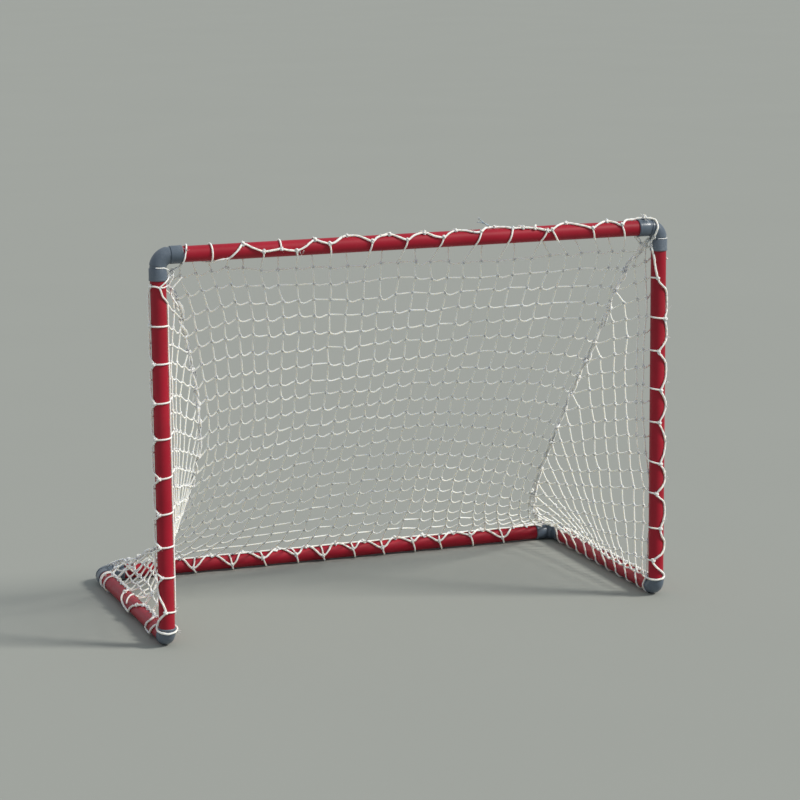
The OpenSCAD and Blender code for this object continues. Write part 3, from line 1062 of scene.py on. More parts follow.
def evenly(dense: np.ndarray, metric: np.ndarray, step: float) -> np.ndarray:
    """Evenly spaced points out of a finely drawn curve.

    Args:
        dense: The curve's points.
        metric: The same points in the measure that is kept even.
        step: Distance between the new points, in that measure.

    Returns:
        Rows of three numbers.
    """
    length = run_lengths(metric)
    even = np.linspace(0, length[-1], max(2, int(round(length[-1] / step))) + 1)
    return np.column_stack([np.interp(even, length, dense[:, k]) for k in range(3)])


def rope_angle(rope: Sequence[tuple[float, float]], place: float) -> float:
    """The angle of a rope round its tube at a place in mm."""
    table = np.array(rope, float)
    return float(np.interp(place, table[:, 0], table[:, 1]))


def smooth_table(table: Sequence[Sequence[float]], step: float, radius: float) -> np.ndarray:
    """A table of places and angles round a tube, drawn as a smooth curve.

    Args:
        table: A place in mm and an angle, and a distance from the axis in mm if it isn't the usual one.
        step: Distance between the new points, in mm.
        radius: The usual distance from the axis, in metres.

    Returns:
        Rows of a place in mm, an angle and a distance from the axis in mm.
    """
    rows = np.array([tuple(row) if len(row) == 3 else (*row, radius / MM) for row in table], float)
    dense = on_route(rows, np.linspace(0, 1, (len(rows) - 1) * 24 + 1))
    metric = np.column_stack([dense[:, 0], np.radians(dense[:, 1]) * 27.0])
    return evenly(dense, metric, step)


def round_tube(axis: TubeAxis, table: Sequence[Sequence[float]]) -> np.ndarray:
    """Points round a tube from rows of a place in mm, an angle and a distance from the axis in mm."""
    return np.array([axis.at(a, p * MM, r * MM) for p, a, r in table])


def smooth_path(points: Sequence[Sequence[float]], step: float = 0.0024) -> np.ndarray:
    """Evenly spaced points on a smooth curve through points in metres.

    Args:
        points: The points to pass through.
        step: Distance between the new points.

    Returns:
        The new points.
    """
    points = np.asarray(points, float)
    dense = on_route(points, np.linspace(0, 1, (len(points) - 1) * 16 + 1))
    return evenly(dense, dense, step)


def wrap(axis: TubeAxis, start: tuple[float, float], end: tuple[float, float], radius: float,
         step: float = 11.0) -> np.ndarray:
    """A twine round a tube.

    Args:
        axis: The tube.
        start: Its first place in metres and angle.
        end: Its last place and angle.
        radius: Distance from the axis.
        step: Degrees between points.

    Returns:
        The points, both ends included.
    """
    count = max(2, int(abs(end[1] - start[1]) / step) + 1)
    f = np.linspace(0, 1, count + 1)
    return np.array(
        [axis.at(start[1] + (end[1] - start[1]) * k, start[0] + (end[0] - start[0]) * k, radius) for k in f]
    )


class Fibres:
    """Loose fibres and frayed tufts that stand off the ropes."""

    def __init__(self, mesh: StrandMesh, rng: np.random.Generator) -> None:
        """Takes the mesh they go into and a random source."""
        self.mesh = mesh
        self.rng = rng

    def fuzz(self, path: np.ndarray, radius: float, every: float) -> None:
        """Short fibres along a rope.

        Args:
            path: The rope's points.
            radius: The rope's radius.
            every: Mean distance between fibres.
        """
        steps = np.linalg.norm(np.diff(path, axis=0), axis=1)
        count = int(steps.sum() / every)
        for i in self.rng.integers(1, len(path) - 1, count):
            tangent = unit(path[i + 1] - path[i - 1])
            out = unit(np.cross(tangent, self.rng.standard_normal(3)))
            root = path[i] + out * radius * 0.8
            lean = tangent * self.rng.normal(0, 0.9)
            reach = self.rng.uniform(0.0015, 0.0048)
            self.hair(root, unit(out + lean), reach, 0.00028)

    def hair(self, root: np.ndarray, way: np.ndarray, reach: float, radius: float) -> None:
        """One thin curved fibre that tapers to its end.

        Args:
            root: Where it starts.
            way: The way it points.
            reach: Its length.
            radius: Its thickness at the root.
        """
        curl = self.rng.standard_normal(3) * 0.25
        f = np.linspace(0, 1, 3)[:, None]
        points = root + way * reach * f + curl * reach * f**2
        self.mesh.lay(points, radius * np.array([1.0, 0.8, 0.3]), 3)

    def tuft(self, root: np.ndarray, way: np.ndarray, reach: float, count: int, spread: float = 0.55,
             radius: float = 0.0006) -> None:
        """A frayed end: a fan of fibres from one point.

        Args:
            root: Where they start.
            way: The way they point.
            reach: Their length.
            count: How many there are.
            spread: How widely they fan out.
            radius: The thickness of each, at its root.
        """
        for _ in range(count):
            lean = unit(way + self.rng.standard_normal(3) * spread)
            start = root + self.rng.standard_normal(3) * 0.0008
            self.hair(start, lean, reach * self.rng.uniform(0.6, 1.1), radius)


    def stand_off(self, axis: TubeAxis, places: Sequence[tuple[float, float]], radius: float, reach: float,
                  count: int) -> None:
        """Tufts that stand straight out from a tube.

        Args:
            axis: The tube.
            places: A place in mm and an angle for each tuft.
            radius: The rope's distance from the axis.
            reach: The fibres' length.
            count: How many there are in each tuft.
        """
        for place, angle in places:
            root = axis.at(angle, place * MM, radius + 0.001)
            self.tuft(root, unit(axis.at(angle, place * MM, 2 * radius) - root), reach, count)


# ---------------------------------------------------------------------------
# Sub-assemblies
# ---------------------------------------------------------------------------


@dataclass
class Tubes:
    """The six plastic tubes, which keep their solids and get their finish."""

    names: tuple[str, ...] = (
        "crossbar", "left_post", "right_post", "left_side_bar", "right_side_bar", "rear_bar"
    )

    def dress(self, finishes: Finishes) -> None:
        """Gives every tube the crimson plastic.

        Args:
            finishes: The goal's materials.
        """
        for name in self.names:
            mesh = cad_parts[name].data
            mesh.materials.clear()
            mesh.materials.append(finishes.tube)
            LOG.info("%s dressed", name)


@dataclass
class Elbow:
    """One moulded slip elbow, with its corner point and its two hubs' directions."""

    name: str
    node: str
    corner: tuple[float, float, float]
    first: tuple[float, float, float]
    second: tuple[float, float, float]
    bend_r: float = 0.038
    bend_outer: float = 0.0262
    hub_body: float = 0.0270
    bead: float = 0.0275
    bore: float = 0.02095
    socket: float = 0.02425
    stop: float = 0.040
    groove_end: float = 0.037
    core: float = 0.0244
    collar_inner: float = 0.0230
    collar_start: float = 10.6
    collar_sweep: float = 68.8
    rim_angle: float = 1.2
    sharp_angle: float = 48.0
    segments: int = 56

    def hub_profile(self) -> list[tuple[float, float]]:
        """The hub's outline as pairs of a radius and a distance from the corner.

        Returns:
            The outline's points, in order.
        """
        d, r, end, bead = self.groove_end, self.hub_body, HUB_REACH, self.bead
        return [
            (self.bore, d + 0.0002), (r - 0.0012, d), (r - 0.0003, d + 0.0004), (r, d + 0.0012),
            (r, end - 0.0072), (r + 0.0001, end - 0.0064), (bead - 0.0001, end - 0.0056),
            (bead, end - 0.0048), (bead, end - 0.0012), (bead - 0.0004, end - 0.0004), (bead - 0.0012, end),
            (self.socket + 0.0011, end), (self.socket + 0.0004, end - 0.0004), (self.socket, end - 0.0014),
            (self.socket, self.stop), (self.bore, self.stop),
        ]

    def add_hub(self, bm: bmesh.types.BMesh, turn: Matrix) -> None:
        """Spins one hub round its axis and turns it into place.

        Args:
            bm: The mesh it is added to.
            turn: From the hub's own frame, with its axis along Z, to the elbow's.
        """
        outline = [bm.verts.new((r, 0, z)) for r, z in self.hub_profile()]
        edges = [bm.edges.new(pair) for pair in zip(outline, outline[1:] + outline[:1])]
        before = set(bm.verts) - set(outline)
        bmesh.ops.spin(
            bm, geom=outline + edges, axis=(0, 0, 1), cent=(0, 0, 0), angle=math.tau,
            steps=self.segments, use_merge=True,
        )
        own = [v for v in bm.verts if v not in before]
        bmesh.ops.transform(bm, matrix=turn, verts=own)

    def add_bend(self, bm: bmesh.types.BMesh, outer: float, inner: float, start: float, sweep: float) -> None:
        """Spins a hollow ring about the bend's centre.

        Args:
            bm: The mesh it is added to.
            outer: The ring's outer radius.
            inner: Its inner radius.
            start: Degrees past the first hub at which it begins.
            sweep: Degrees through which it goes.
        """
        before = set(bm.verts)
        centre = Vector((self.bend_r, self.bend_r, 0))
        place = (
            Matrix.Translation(centre) @ Matrix.Rotation(-math.radians(start), 4, "Z")
            @ Matrix.Translation((0, -self.bend_r, 0)) @ Matrix.Rotation(math.pi / 2, 4, "Y")
        )
        verts, edges = [], []
        for radius in (outer, inner):
            ring = bmesh.ops.create_circle(bm, segments=self.segments, radius=radius, matrix=place)["verts"]
            verts += ring
            edges += linked_edges(ring)
        spun = bmesh.ops.spin(
            bm, geom=verts + edges, axis=(0, 0, 1), cent=centre, angle=-math.radians(sweep),
            steps=max(4, int(sweep / 5)), use_merge=False,
        )
        last = [g for g in spun["geom_last"] if isinstance(g, bmesh.types.BMEdge)]
        bmesh.ops.bridge_loops(bm, edges=edges)
        bmesh.ops.bridge_loops(bm, edges=last)
        own = [v for v in bm.verts if v not in before]
        bmesh.ops.remove_doubles(bm, verts=own, dist=1e-6)
        rims = [
            e for e in bm.edges
            if e.verts[0] not in before and e.is_manifold and e.calc_face_angle(0) > self.rim_angle
        ]
        bmesh.ops.bevel(bm, geom=rims, offset=0.0008, segments=2, affect="EDGES")

    def add_shells(self, bm: bmesh.types.BMesh) -> None:
        """Adds the bend: a core, and the collar between the two grooves.

        Args:
            bm: The mesh they are added to.
        """
        self.add_bend(bm, self.core, self.bore, 0.0, 90.0)
        self.add_bend(bm, self.bend_outer, self.collar_inner, self.collar_start, self.collar_sweep)
        self.add_mould_line(bm)

    def add_mould_line(self, bm: bmesh.types.BMesh) -> None:
        """Adds the thin parting ridge along the bend's outer side.

        Args:
            bm: The mesh it is added to.
        """
        reach = self.bend_outer + 0.0002
        centre = Vector((self.bend_r, self.bend_r, 0))
        line = []
        for across, rise in ((-0.0006, 0.0), (0.0, 0.0004), (0.0006, 0.0)):
            point = Vector((self.bend_r, -(reach - 0.0004) - rise, across)) - centre
            line.append(bm.verts.new(centre + Matrix.Rotation(-math.radians(12.5), 3, "Z") @ point))
        edges = [bm.edges.new(pair) for pair in zip(line, line[1:] + line[:1])]
        spun = bmesh.ops.spin(
            bm, geom=line + edges, axis=(0, 0, 1), cent=centre, angle=-math.radians(65), steps=18,
            use_merge=False,
        )
        for loop in (edges, [g for g in spun["geom_last"] if isinstance(g, bmesh.types.BMEdge)]):
            bmesh.ops.holes_fill(bm, edges=loop, sides=3)

    def build(self, finishes: Finishes) -> bpy.types.Object:
        """Builds the elbow in place of its solid.

        Args:
            finishes: The goal's materials.

        Returns:
            The finished piece.
        """
        bm = bmesh.new()
        self.add_hub(bm, Matrix.Rotation(math.pi / 2, 4, "Y"))
        self.add_hub(bm, Matrix.Rotation(-math.pi / 2, 4, "X"))
        self.add_shells(bm)
        x, y = Vector(self.first), Vector(self.second)
        z = x.cross(y)
        turn = Matrix((x, y, z)).transposed().to_4x4()
        bmesh.ops.transform(bm, matrix=Matrix.Translation(self.corner) @ turn, verts=bm.verts)
        bmesh.ops.recalc_face_normals(bm, faces=bm.faces)
        mesh = bpy.data.meshes.new(self.name)
        bm.to_mesh(mesh)
        bm.free()
        mesh.materials.append(finishes.elbow)
        piece = place_piece(mesh, self.node)
        mesh.set_sharp_from_angle(angle=math.radians(self.sharp_angle))
        return piece


@dataclass
class FootElbow(Elbow):
    """A front elbow: a tight bend whose spigots go up into the post and back into the side bar."""

    bend_r: float = 0.0265
    bore: float = 0.01785
    spigot: float = 0.02085
    tip: float = 0.0655

    def hub_profile(self) -> list[tuple[float, float]]:
        """The bead and the spigot, as pairs of a radius and a distance from the corner.

        Returns:
            The outline's points, in order.
        """
        d, e, tip = self.bend_r, FOOT_REACH, self.tip
        return [
            (self.bore, d - 0.001), (self.bend_outer - 0.0004, d - 0.001), (self.bead - 0.001, d),
            (self.bead, d + 0.001), (self.bead, e - 0.001), (self.bead - 0.001, e), (self.spigot, e),
            (self.spigot, tip - 0.0012), (self.spigot - 0.0012, tip), (self.bore + 0.0004, tip),
            (self.bore, tip - 0.0004),
        ]

    def add_shells(self, bm: bmesh.types.BMesh) -> None:
        """Adds the plain bend."""
        self.add_bend(bm, self.bend_outer, self.bore, 0.0, 90.0)


def make_elbows(finishes: Finishes) -> None:
    """Builds the six elbows.

    Args:
        finishes: The goal's materials.
    """
    up, down, back, front = (0, 0, 1), (0, 0, -1), (0, 1, 0), (0, -1, 0)
    for side in Side:
        word, inward, x = side.name.lower(), (-side.value, 0, 0), side.value * HALF_W
        for elbow in (
            Elbow(f"{word}_top_elbow", f"top_{word}_elbow", (x, MOUTH_Y, TOP_Z), inward, down),
            FootElbow(f"{word}_front_elbow", f"front_{word}_elbow", (x, MOUTH_Y, GROUND_Z), up, back),
            Elbow(f"{word}_rear_elbow", f"rear_{word}_elbow", (x, BACK_Y, GROUND_Z), inward, front),
        ):
            elbow.build(finishes)


@dataclass
class BackNet:
    """The net from the crossbar to the rear bar, between the two seams."""

    seed: int = 41
    wander: float = 0.0042
    jitter: float = 0.0019
    rest: float = 0.0545
    deepest: float = 0.009
    skew: float = 0.9
    seam_reach: float = 0.11
    row_swell: float = 0.0028
    left_room: tuple[float, float] = (0.012, 0.012)
    right_room: tuple[float, float] = (0.006, 0.014)
    knot_sizes: tuple[float, float] = (0.76, 0.98)

    def __post_init__(self) -> None:
        """Places every knot."""
        rng = np.random.default_rng(self.seed)
        self.rng = rng
        rows, cols = MESH_ROWS - 1, LAST_LEFT + LAST_RIGHT + 1
        drift = [smooth_noise(rng, (rows, cols), 2.2) for _ in range(3)]
        row_wave = [smooth_noise(rng, (1, cols), 1.6)[0] for _ in range(rows)]
        own = [rng.standard_normal((rows, cols)) for _ in range(3)]
        self.columns = range(-LAST_LEFT, LAST_RIGHT + 1)
        self.knots: dict[tuple[int, int], np.ndarray] = {}
        for r in range(rows):
            t0 = (r + 1) / MESH_ROWS
            left, right = seam_point(Side.LEFT, t0)[0, 0], seam_point(Side.RIGHT, t0)[0, 0]
            for c, j in enumerate(self.columns):
                x = column_x(j, t0)
                lag = (
                    SEAM_DROOP[-1] * math.exp((left - x) / self.seam_reach)
                    + SEAM_DROOP[1] * math.exp((x - right) / self.seam_reach)
                )
                t = t0 + (lag * droop_fade(t0) + hung(HANG_ROWS, HANG_COLUMNS, j, t0)) / MESH_ROWS
                across = j + hung(SHIFT_ACROSS, SHIFT_COLUMNS, j, t0)
                x = column_x(across, t)
                left_x, right_x = seam_point(Side.LEFT, t)[0, 0], seam_point(Side.RIGHT, t)[0, 0]
                least = left_x + self.left_room[0] + self.left_room[1] * (j + LAST_LEFT)
                x = min(max(x, least), right_x - self.right_room[0] - self.right_room[1] * (LAST_RIGHT - j))
                u = (x - left_x) / (right_x - left_x)
                edge = min(1.0, 0.25 + 6 * u * (1 - u))
                point = back_point(u, t)[0]
                down = unit(back_point(u, min(t + 0.02, 1))[0] - back_point(u, max(t - 0.02, 0))[0])
                out = unit(np.cross(down, np.array([1.0, 0, 0])))
                foot = min(1.0, (rows - r) / 2.5)
                lateral = self.wander * 0.9 * drift[0][r, c] + self.jitter * own[0][r, c]
                along = self.wander * drift[1][r, c] + self.row_swell * row_wave[r][c]
                along += self.jitter * own[1][r, c]
                depth = 0.006 * drift[2][r, c] + 0.0015 * own[2][r, c]
                self.knots[j, r] = (
                    point + edge * (np.array([lateral, 0, 0]) + foot * (along * down + depth * out))
                )
                if r == rows - 1 and abs(x) < HALF_W - HUB_REACH:
                    self.knots[j, r] = REAR_BAR.at(108 + 2 * own[1][r, c], x, TUBE_R + TWINE_R + 0.0004)

    def outward(self, j: int, r: int) -> np.ndarray:
        """The net's normal at a knot, pointing out of the goal.

        Args:
            j: The column's number.
            r: The row's number.

        Returns:
            A unit vector.
        """
        t = (r + 1) / MESH_ROWS
        u = 0.5 + j * MESH / 1.4
        down = back_point(u, min(t + 0.02, 1))[0] - back_point(u, max(t - 0.02, 0))[0]
        return unit(np.cross(down, np.array([1.0, 0.0, 0.0])) * -1)

    def top_leg(self, j: int) -> np.ndarray:
        """A column's first stretch, from its rope round the crossbar.

        Args:
            j: The column's number.

        Returns:
            Its points, from the rope down to where it leaves the tube.
        """
        x = j * MESH
        if j == -LAST_LEFT:
            return np.array([CROSSBAR.at(-50, -0.733, LEG_REACH)])
        if j == -11:
            return np.array([CROSSBAR.at(223, -0.598, LEG_REACH)])
        if j in CROSSBAR_HOOKS:
            hook = CROSSBAR_HOOKS[j]
            angle = rope_angle(CROSSBAR_ROPE, hook)
            return wrap(CROSSBAR, (hook * MM, angle + 3), (x + (hook * MM - x) * 0.6, 222), LEG_REACH)
        if j in CROSSBAR_CRESTS:
            crest = CROSSBAR_CRESTS[j]
            angle = rope_angle(CROSSBAR_ROPE, crest)
            return wrap(CROSSBAR, (crest * MM, angle - 3), (x + (crest * MM - x) * 0.3, -18), LEG_REACH)
        angle = rope_angle(CROSSBAR_ROPE, x * 1000)
        if j == -13:
            angle -= 360
        return wrap(CROSSBAR, (x, angle - 3), (x - 0.002, -18), LEG_REACH)

    def foot_leg(self, j: int) -> np.ndarray:
        """A column's last stretch, down the rear bar's front to the rope.

        Args:
            j: The column's number.

        Returns:
            Its points, from where it meets the tube.
        """
        j = round(j + hung(SHIFT_ACROSS, SHIFT_COLUMNS, j, 1.0))
        x = j * MESH
        if abs(x) > HALF_W - HUB_REACH - 0.008:
            return np.array([REAR_BAR.at(130, x, HUB_TOUCH)])
        for number, place, angle in REAR_ROPE_HOOKS:
            if number == j:
                return wrap(REAR_BAR, (x + (place * MM - x) * 0.4, 112), (place * MM, angle - 3), LEG_REACH)
        place = dict(REAR_ROPE_CRESTS).get(j, x * 1000)
        return wrap(REAR_BAR, (x + (place * MM - x) * 0.5, 124), (place * MM, 104), LEG_REACH)

    def column_path(self, j: int) -> np.ndarray:
        """A column's points, from the crossbar to the rear bar.

        Args:
            j: The column's number.

        Returns:
            Its points.
        """
        top, foot = self.top_leg(j), self.foot_leg(j)
        stops = [top[-1]] + [self.knots[j, r] for r in range(MESH_ROWS - 1)] + [foot[0]]

        def hang(a: np.ndarray, b: np.ndarray) -> tuple:
            """An almost straight stretch with a slight bend."""
            return 0.0002, np.array([self.rng.normal(0, 0.0011), self.rng.normal(0, 0.0008), 0])

        return strung(top, stops, hang, [foot[1:]])

    def row_path(self, r: int) -> np.ndarray:
        """One row from seam to seam, slack between its knots.

        Args:
            r: The row's number.

        Returns:
            Its points.
        """
        knots = [self.knots[j, r] for j in self.columns]
        stops = [seam_tie(Side.LEFT, r + 1), *knots, seam_tie(Side.RIGHT, r + 1)]
        slack = 0.0 if r == MESH_ROWS - 2 else 1.0

        def hang(a: np.ndarray, b: np.ndarray) -> tuple:
            """A slack stretch; the last row lies tight on the rear bar.

            Args:
                a: The first knot.
                b: The second knot.

            Returns:
                The sag, the bend and the skew.
            """
            rest = self.rest * self.rng.normal(1.0, 0.012)
            sag = min(slack_sag(a, b, rest), self.deepest) * self.rng.uniform(0.6, 1.05)
            bend = np.array([0, self.rng.normal(0, 0.0012), 0])
            return slack * sag, slack * bend, self.skew

        return strung(stops[0][None, :], stops, hang)

    def build(self, finishes: Finishes) -> None:
        """Builds the twines, the knots and the lacing on the rear bar.

        Args:
            finishes: The goal's materials.
        """
        net = StrandMesh("back_net_twine")
        for j in self.columns:
            net.lay(self.column_path(j), TWINE_R, 8)
        for r in range(MESH_ROWS - 1):
            net.lay(self.row_path(r), TWINE_R, 8)
        net.build(finishes.twine, Slot.TWINE, "back_net")
        knots = StrandMesh("back_net_knots")
        shape = KnotShape(0.0031, 0.0027)
        for (j, r), point in self.knots.items():
            out = self.outward(j, r)
            turn = self.rng.uniform(0, math.tau)
            size = self.rng.uniform(*self.knot_sizes)
            knots.stamp(shape, frame_matrix(np.array([1.0, 0, 0]), out, size, turn), point)
        knots.build(finishes.twine, Slot.TWINE)
        self.build_lacing(finishes)

    def build_lacing(self, finishes: Finishes) -> None:
        """Twines from each hook of the rear rope, under the bar and over it to the next crest.

        Args:
            finishes: The goal's materials.
        """
        lacing = StrandMesh("rear_bar_lacing")
        radius = TUBE_R + LEG_R + 0.0002
        crests = dict(REAR_ROPE_CRESTS)
        for number, place, angle in REAR_ROPE_HOOKS:
            target = crests.get(number + 1, place + 54)
            lacing.lay(wrap(REAR_BAR, (place * MM, angle + 2), (target * MM, 360 + 92), radius), LEG_R, 8)
        lacing.build(finishes.twine, Slot.TWINE)


# Height of the first row on the post, the rows' step, that row's number and the columns' step
SIDE_GRIDS = {Side.LEFT: (1.095, 0.0551, 2, 0.0435), Side.RIGHT: (1.034, 0.0571, 3, 0.0408)}


@dataclass
class SideNet:
    """One side net, between a post, a side bar and a seam."""

    side: Side
    seed: int = 7
    bow: float = 1.15
    column_start: float = 0.008
    wander: float = 0.004
    jitter: float = 0.0018
    least_height: float = 0.062
    knot_sizes: tuple[float, float] = (0.86, 1.12)

    def __post_init__(self) -> None:
        """Places the knots, each row running down from the post to its seam knot."""
        self.rng = np.random.default_rng(self.seed + self.side.value)
        self.start = HALF_W - TUBE_R - 0.0018
        self.top_z, self.row_step, self.first, self.column_step = SIDE_GRIDS[self.side]
        self.ties = {m: seam_tie(self.side, m) for m in range(MESH_ROWS)}
        cols = int((BACK_Y - MOUTH_Y - 0.03) / self.column_step)
        self.column_y = MOUTH_Y + self.column_start + self.column_step * np.arange(cols + 1)
        self.column_y[0] = MOUTH_Y + 0.021
        noise = [smooth_noise(self.rng, (MESH_ROWS, cols + 1), 1.8) for _ in range(3)]
        self.columns = range(0 if self.side is Side.RIGHT else 1, cols + 1)
        self.knots: dict[tuple[int, int], np.ndarray] = {}
        self.low_knots: list[np.ndarray] = []
        for m in range(1, MESH_ROWS):
            tie = self.ties[m]
            for c in self.columns:
                y = self.column_y[c]
                if y > tie[1] - 0.018:
                    continue
                near = min(1.0, (tie[1] - y) / 0.1)
                y += near * (self.wander * noise[0][m, c] + self.rng.normal(0, self.jitter))
                point = self.row_point(m, y)
                point[2] += near * (self.wander * noise[1][m, c] + self.rng.normal(0, self.jitter))
                point[0] += near * 0.006 * noise[2][m, c]
                if point[2] > self.least_height:
                    self.knots[c, m] = point

    def post_height(self, m: int) -> float:
        """The height at which a row starts on the post."""
        return self.top_z - self.row_step * (m - self.first)

    def row_point(self, m: int, y: float) -> np.ndarray:
        """A point of a row at a distance behind the origin.

        Args:
            m: The row's number.
            y: The distance.

        Returns:
            The point.
        """
        tie = self.ties[m]
        w = max((y - MOUTH_Y) / (tie[1] - MOUTH_Y), 0.0)
        x = self.start + (abs(tie[0]) - self.start) * w**self.bow
        z = self.post_height(m) + (tie[2] - self.post_height(m)) * w**1.15
        return np.array([self.side.value * x, y, z])

    def row_start(self, m: int) -> np.ndarray:
        """A row's first stretch, from the post's rope round the post or from the side bar.

        Args:
            m: The row's number, counted down from the crossbar.

        Returns:
            Its points.
        """
        z = self.post_height(m)
        axis = post_axis(self.side)
        if z < 0.075:
            first = min((self.knots[k][1] for k in self.knots if k[1] == m), default=self.ties[m][1])
            return np.array([side_bar_axis(self.side).at(112, first - 0.02, LEG_REACH)])
        if z > TOP_Z - HUB_REACH:
            return np.array([axis.at(150, min(z, TOP_Z - HUB_REACH + 0.01), HUB_TOUCH)])
        left = self.side is Side.LEFT
        if left and m == 3:
            return round_tube(axis, smooth_table(LEFT_FIRST_LEG, 4, LEG_REACH))
        legs = LEFT_POST_LEGS if left else RIGHT_POST_LEGS
        if m > 2 and (m - self.first) % 2 == 0:
            height, angle = legs[(m - self.first) // 2]
            return wrap(axis, (height * MM, angle - 3), (height * MM * 0.6 + z * 0.4, -196), LEG_REACH)
        return wrap(axis, (z, 18 if left else -36), (z, 132), LEG_REACH)

    def bar_leg(self, c: int) -> np.ndarray:
        """A column's last stretch, over the side bar to its rope.

        Args:
            c: The column's number.

        Returns:
            Its points.
        """
        y = max(self.column_y[c], MOUTH_Y + FOOT_REACH + 0.008)
        axis = side_bar_axis(self.side)
        if y > BACK_Y - HUB_REACH - 0.006:
            return np.array([axis.at(150, y, HUB_TOUCH)])
        if self.side is Side.LEFT:
            hitch = y + self.column_step * (0.36 if c % 2 else -0.36)
            return wrap(axis, (hitch, 132), (hitch + 0.002, 116), LEG_REACH)
        angle = rope_angle(RIGHT_SIDE_ROPE, y / MM)
        if c % 2:
            return wrap(axis, (y, 128), (y + 0.003, angle + 4), LEG_REACH)
        return wrap(axis, (y, 175), (y - 0.004, 360 + angle - 4), LEG_REACH)

    def row_hang(self, a: np.ndarray, b: np.ndarray) -> tuple:
        """The sag, bend and skew of a row between two knots."""
        bend = np.array([self.rng.normal(0, 0.001), 0, 0])
        return self.rng.uniform(0.003, 0.0065), bend, -0.8

    def column_hang(self, a: np.ndarray, b: np.ndarray) -> tuple:
        """The sag and bend of a column between two knots."""
        return 0.0, np.array([self.rng.normal(0, 0.001), self.rng.normal(0, 0.001), 0])

    def low_hang(self, a: np.ndarray, b: np.ndarray) -> tuple:
        """The sag and bend of the lowest row between two knots."""
        return self.rng.uniform(0.002, 0.005), np.zeros(3)

    def selvedge(self) -> np.ndarray:
        """The twine down the post's inner edge that closes the rows.

        Returns:
            Its points.
        """
        axis = post_axis(self.side)
        z = np.linspace(1045, 100, 70)
        sway = smooth_noise(self.rng, (1, 70), 3.0)[0]
        return round_tube(axis, np.column_stack([z, 188 + 7 * sway, 26.2 + 0.5 * np.abs(sway)]))

    def build(self, finishes: Finishes) -> None:
        """Builds the twines and the knots.

        Args:
            finishes: The goal's materials.
        """
        word = self.side.name.lower()
        net = StrandMesh(f"{word}_net_twine")
        for m in range(1, MESH_ROWS):
            leg = self.row_start(m)
            knots = [self.knots[c, m] for c in self.columns if (c, m) in self.knots]
            stops = [leg[-1], *knots, self.ties[m]]
            net.lay(strung(leg, stops, self.row_hang), TWINE_R, 8)
        for c in self.columns:
            rows = [m for m in range(1, MESH_ROWS) if (c, m) in self.knots]
            if not rows:
                continue
            leg = self.bar_leg(c)
            stops = [self.ties[rows[0] - 1]] + [self.knots[c, m] for m in rows]
            if self.side is Side.LEFT:
                shift = np.array([0, self.rng.normal(0, 0.004), self.rng.normal(0, 0.003)])
                half = (stops[-1] + leg[0]) / 2 + shift
                self.low_knots.append(half)
                stops.append(half)
            stops.append(leg[0])
            net.lay(strung(stops[0][None, :], stops, self.column_hang, [leg[1:]]), TWINE_R, 8)
        if self.side is Side.LEFT:
            net.lay(self.selvedge(), TWINE_R, 8)
            net.lay(strung(self.low_knots[0][None, :], self.low_knots, self.low_hang), TWINE_R, 8)
        net.build(finishes.twine, Slot.TWINE, f"{word}_net")
        knots = StrandMesh(f"{word}_net_knots")
        shape = KnotShape(0.0031, 0.0027)
        for point in [*self.knots.values(), *self.low_knots]:
            out = np.array([float(self.side.value), 0.25, 0.2])
            size = self.rng.uniform(*self.knot_sizes)
            knots.stamp(shape, frame_matrix(np.array([0, 1.0, 0]), out, size, self.rng.uniform(0, 6)), point)
        knots.build(finishes.twine, Slot.TWINE)


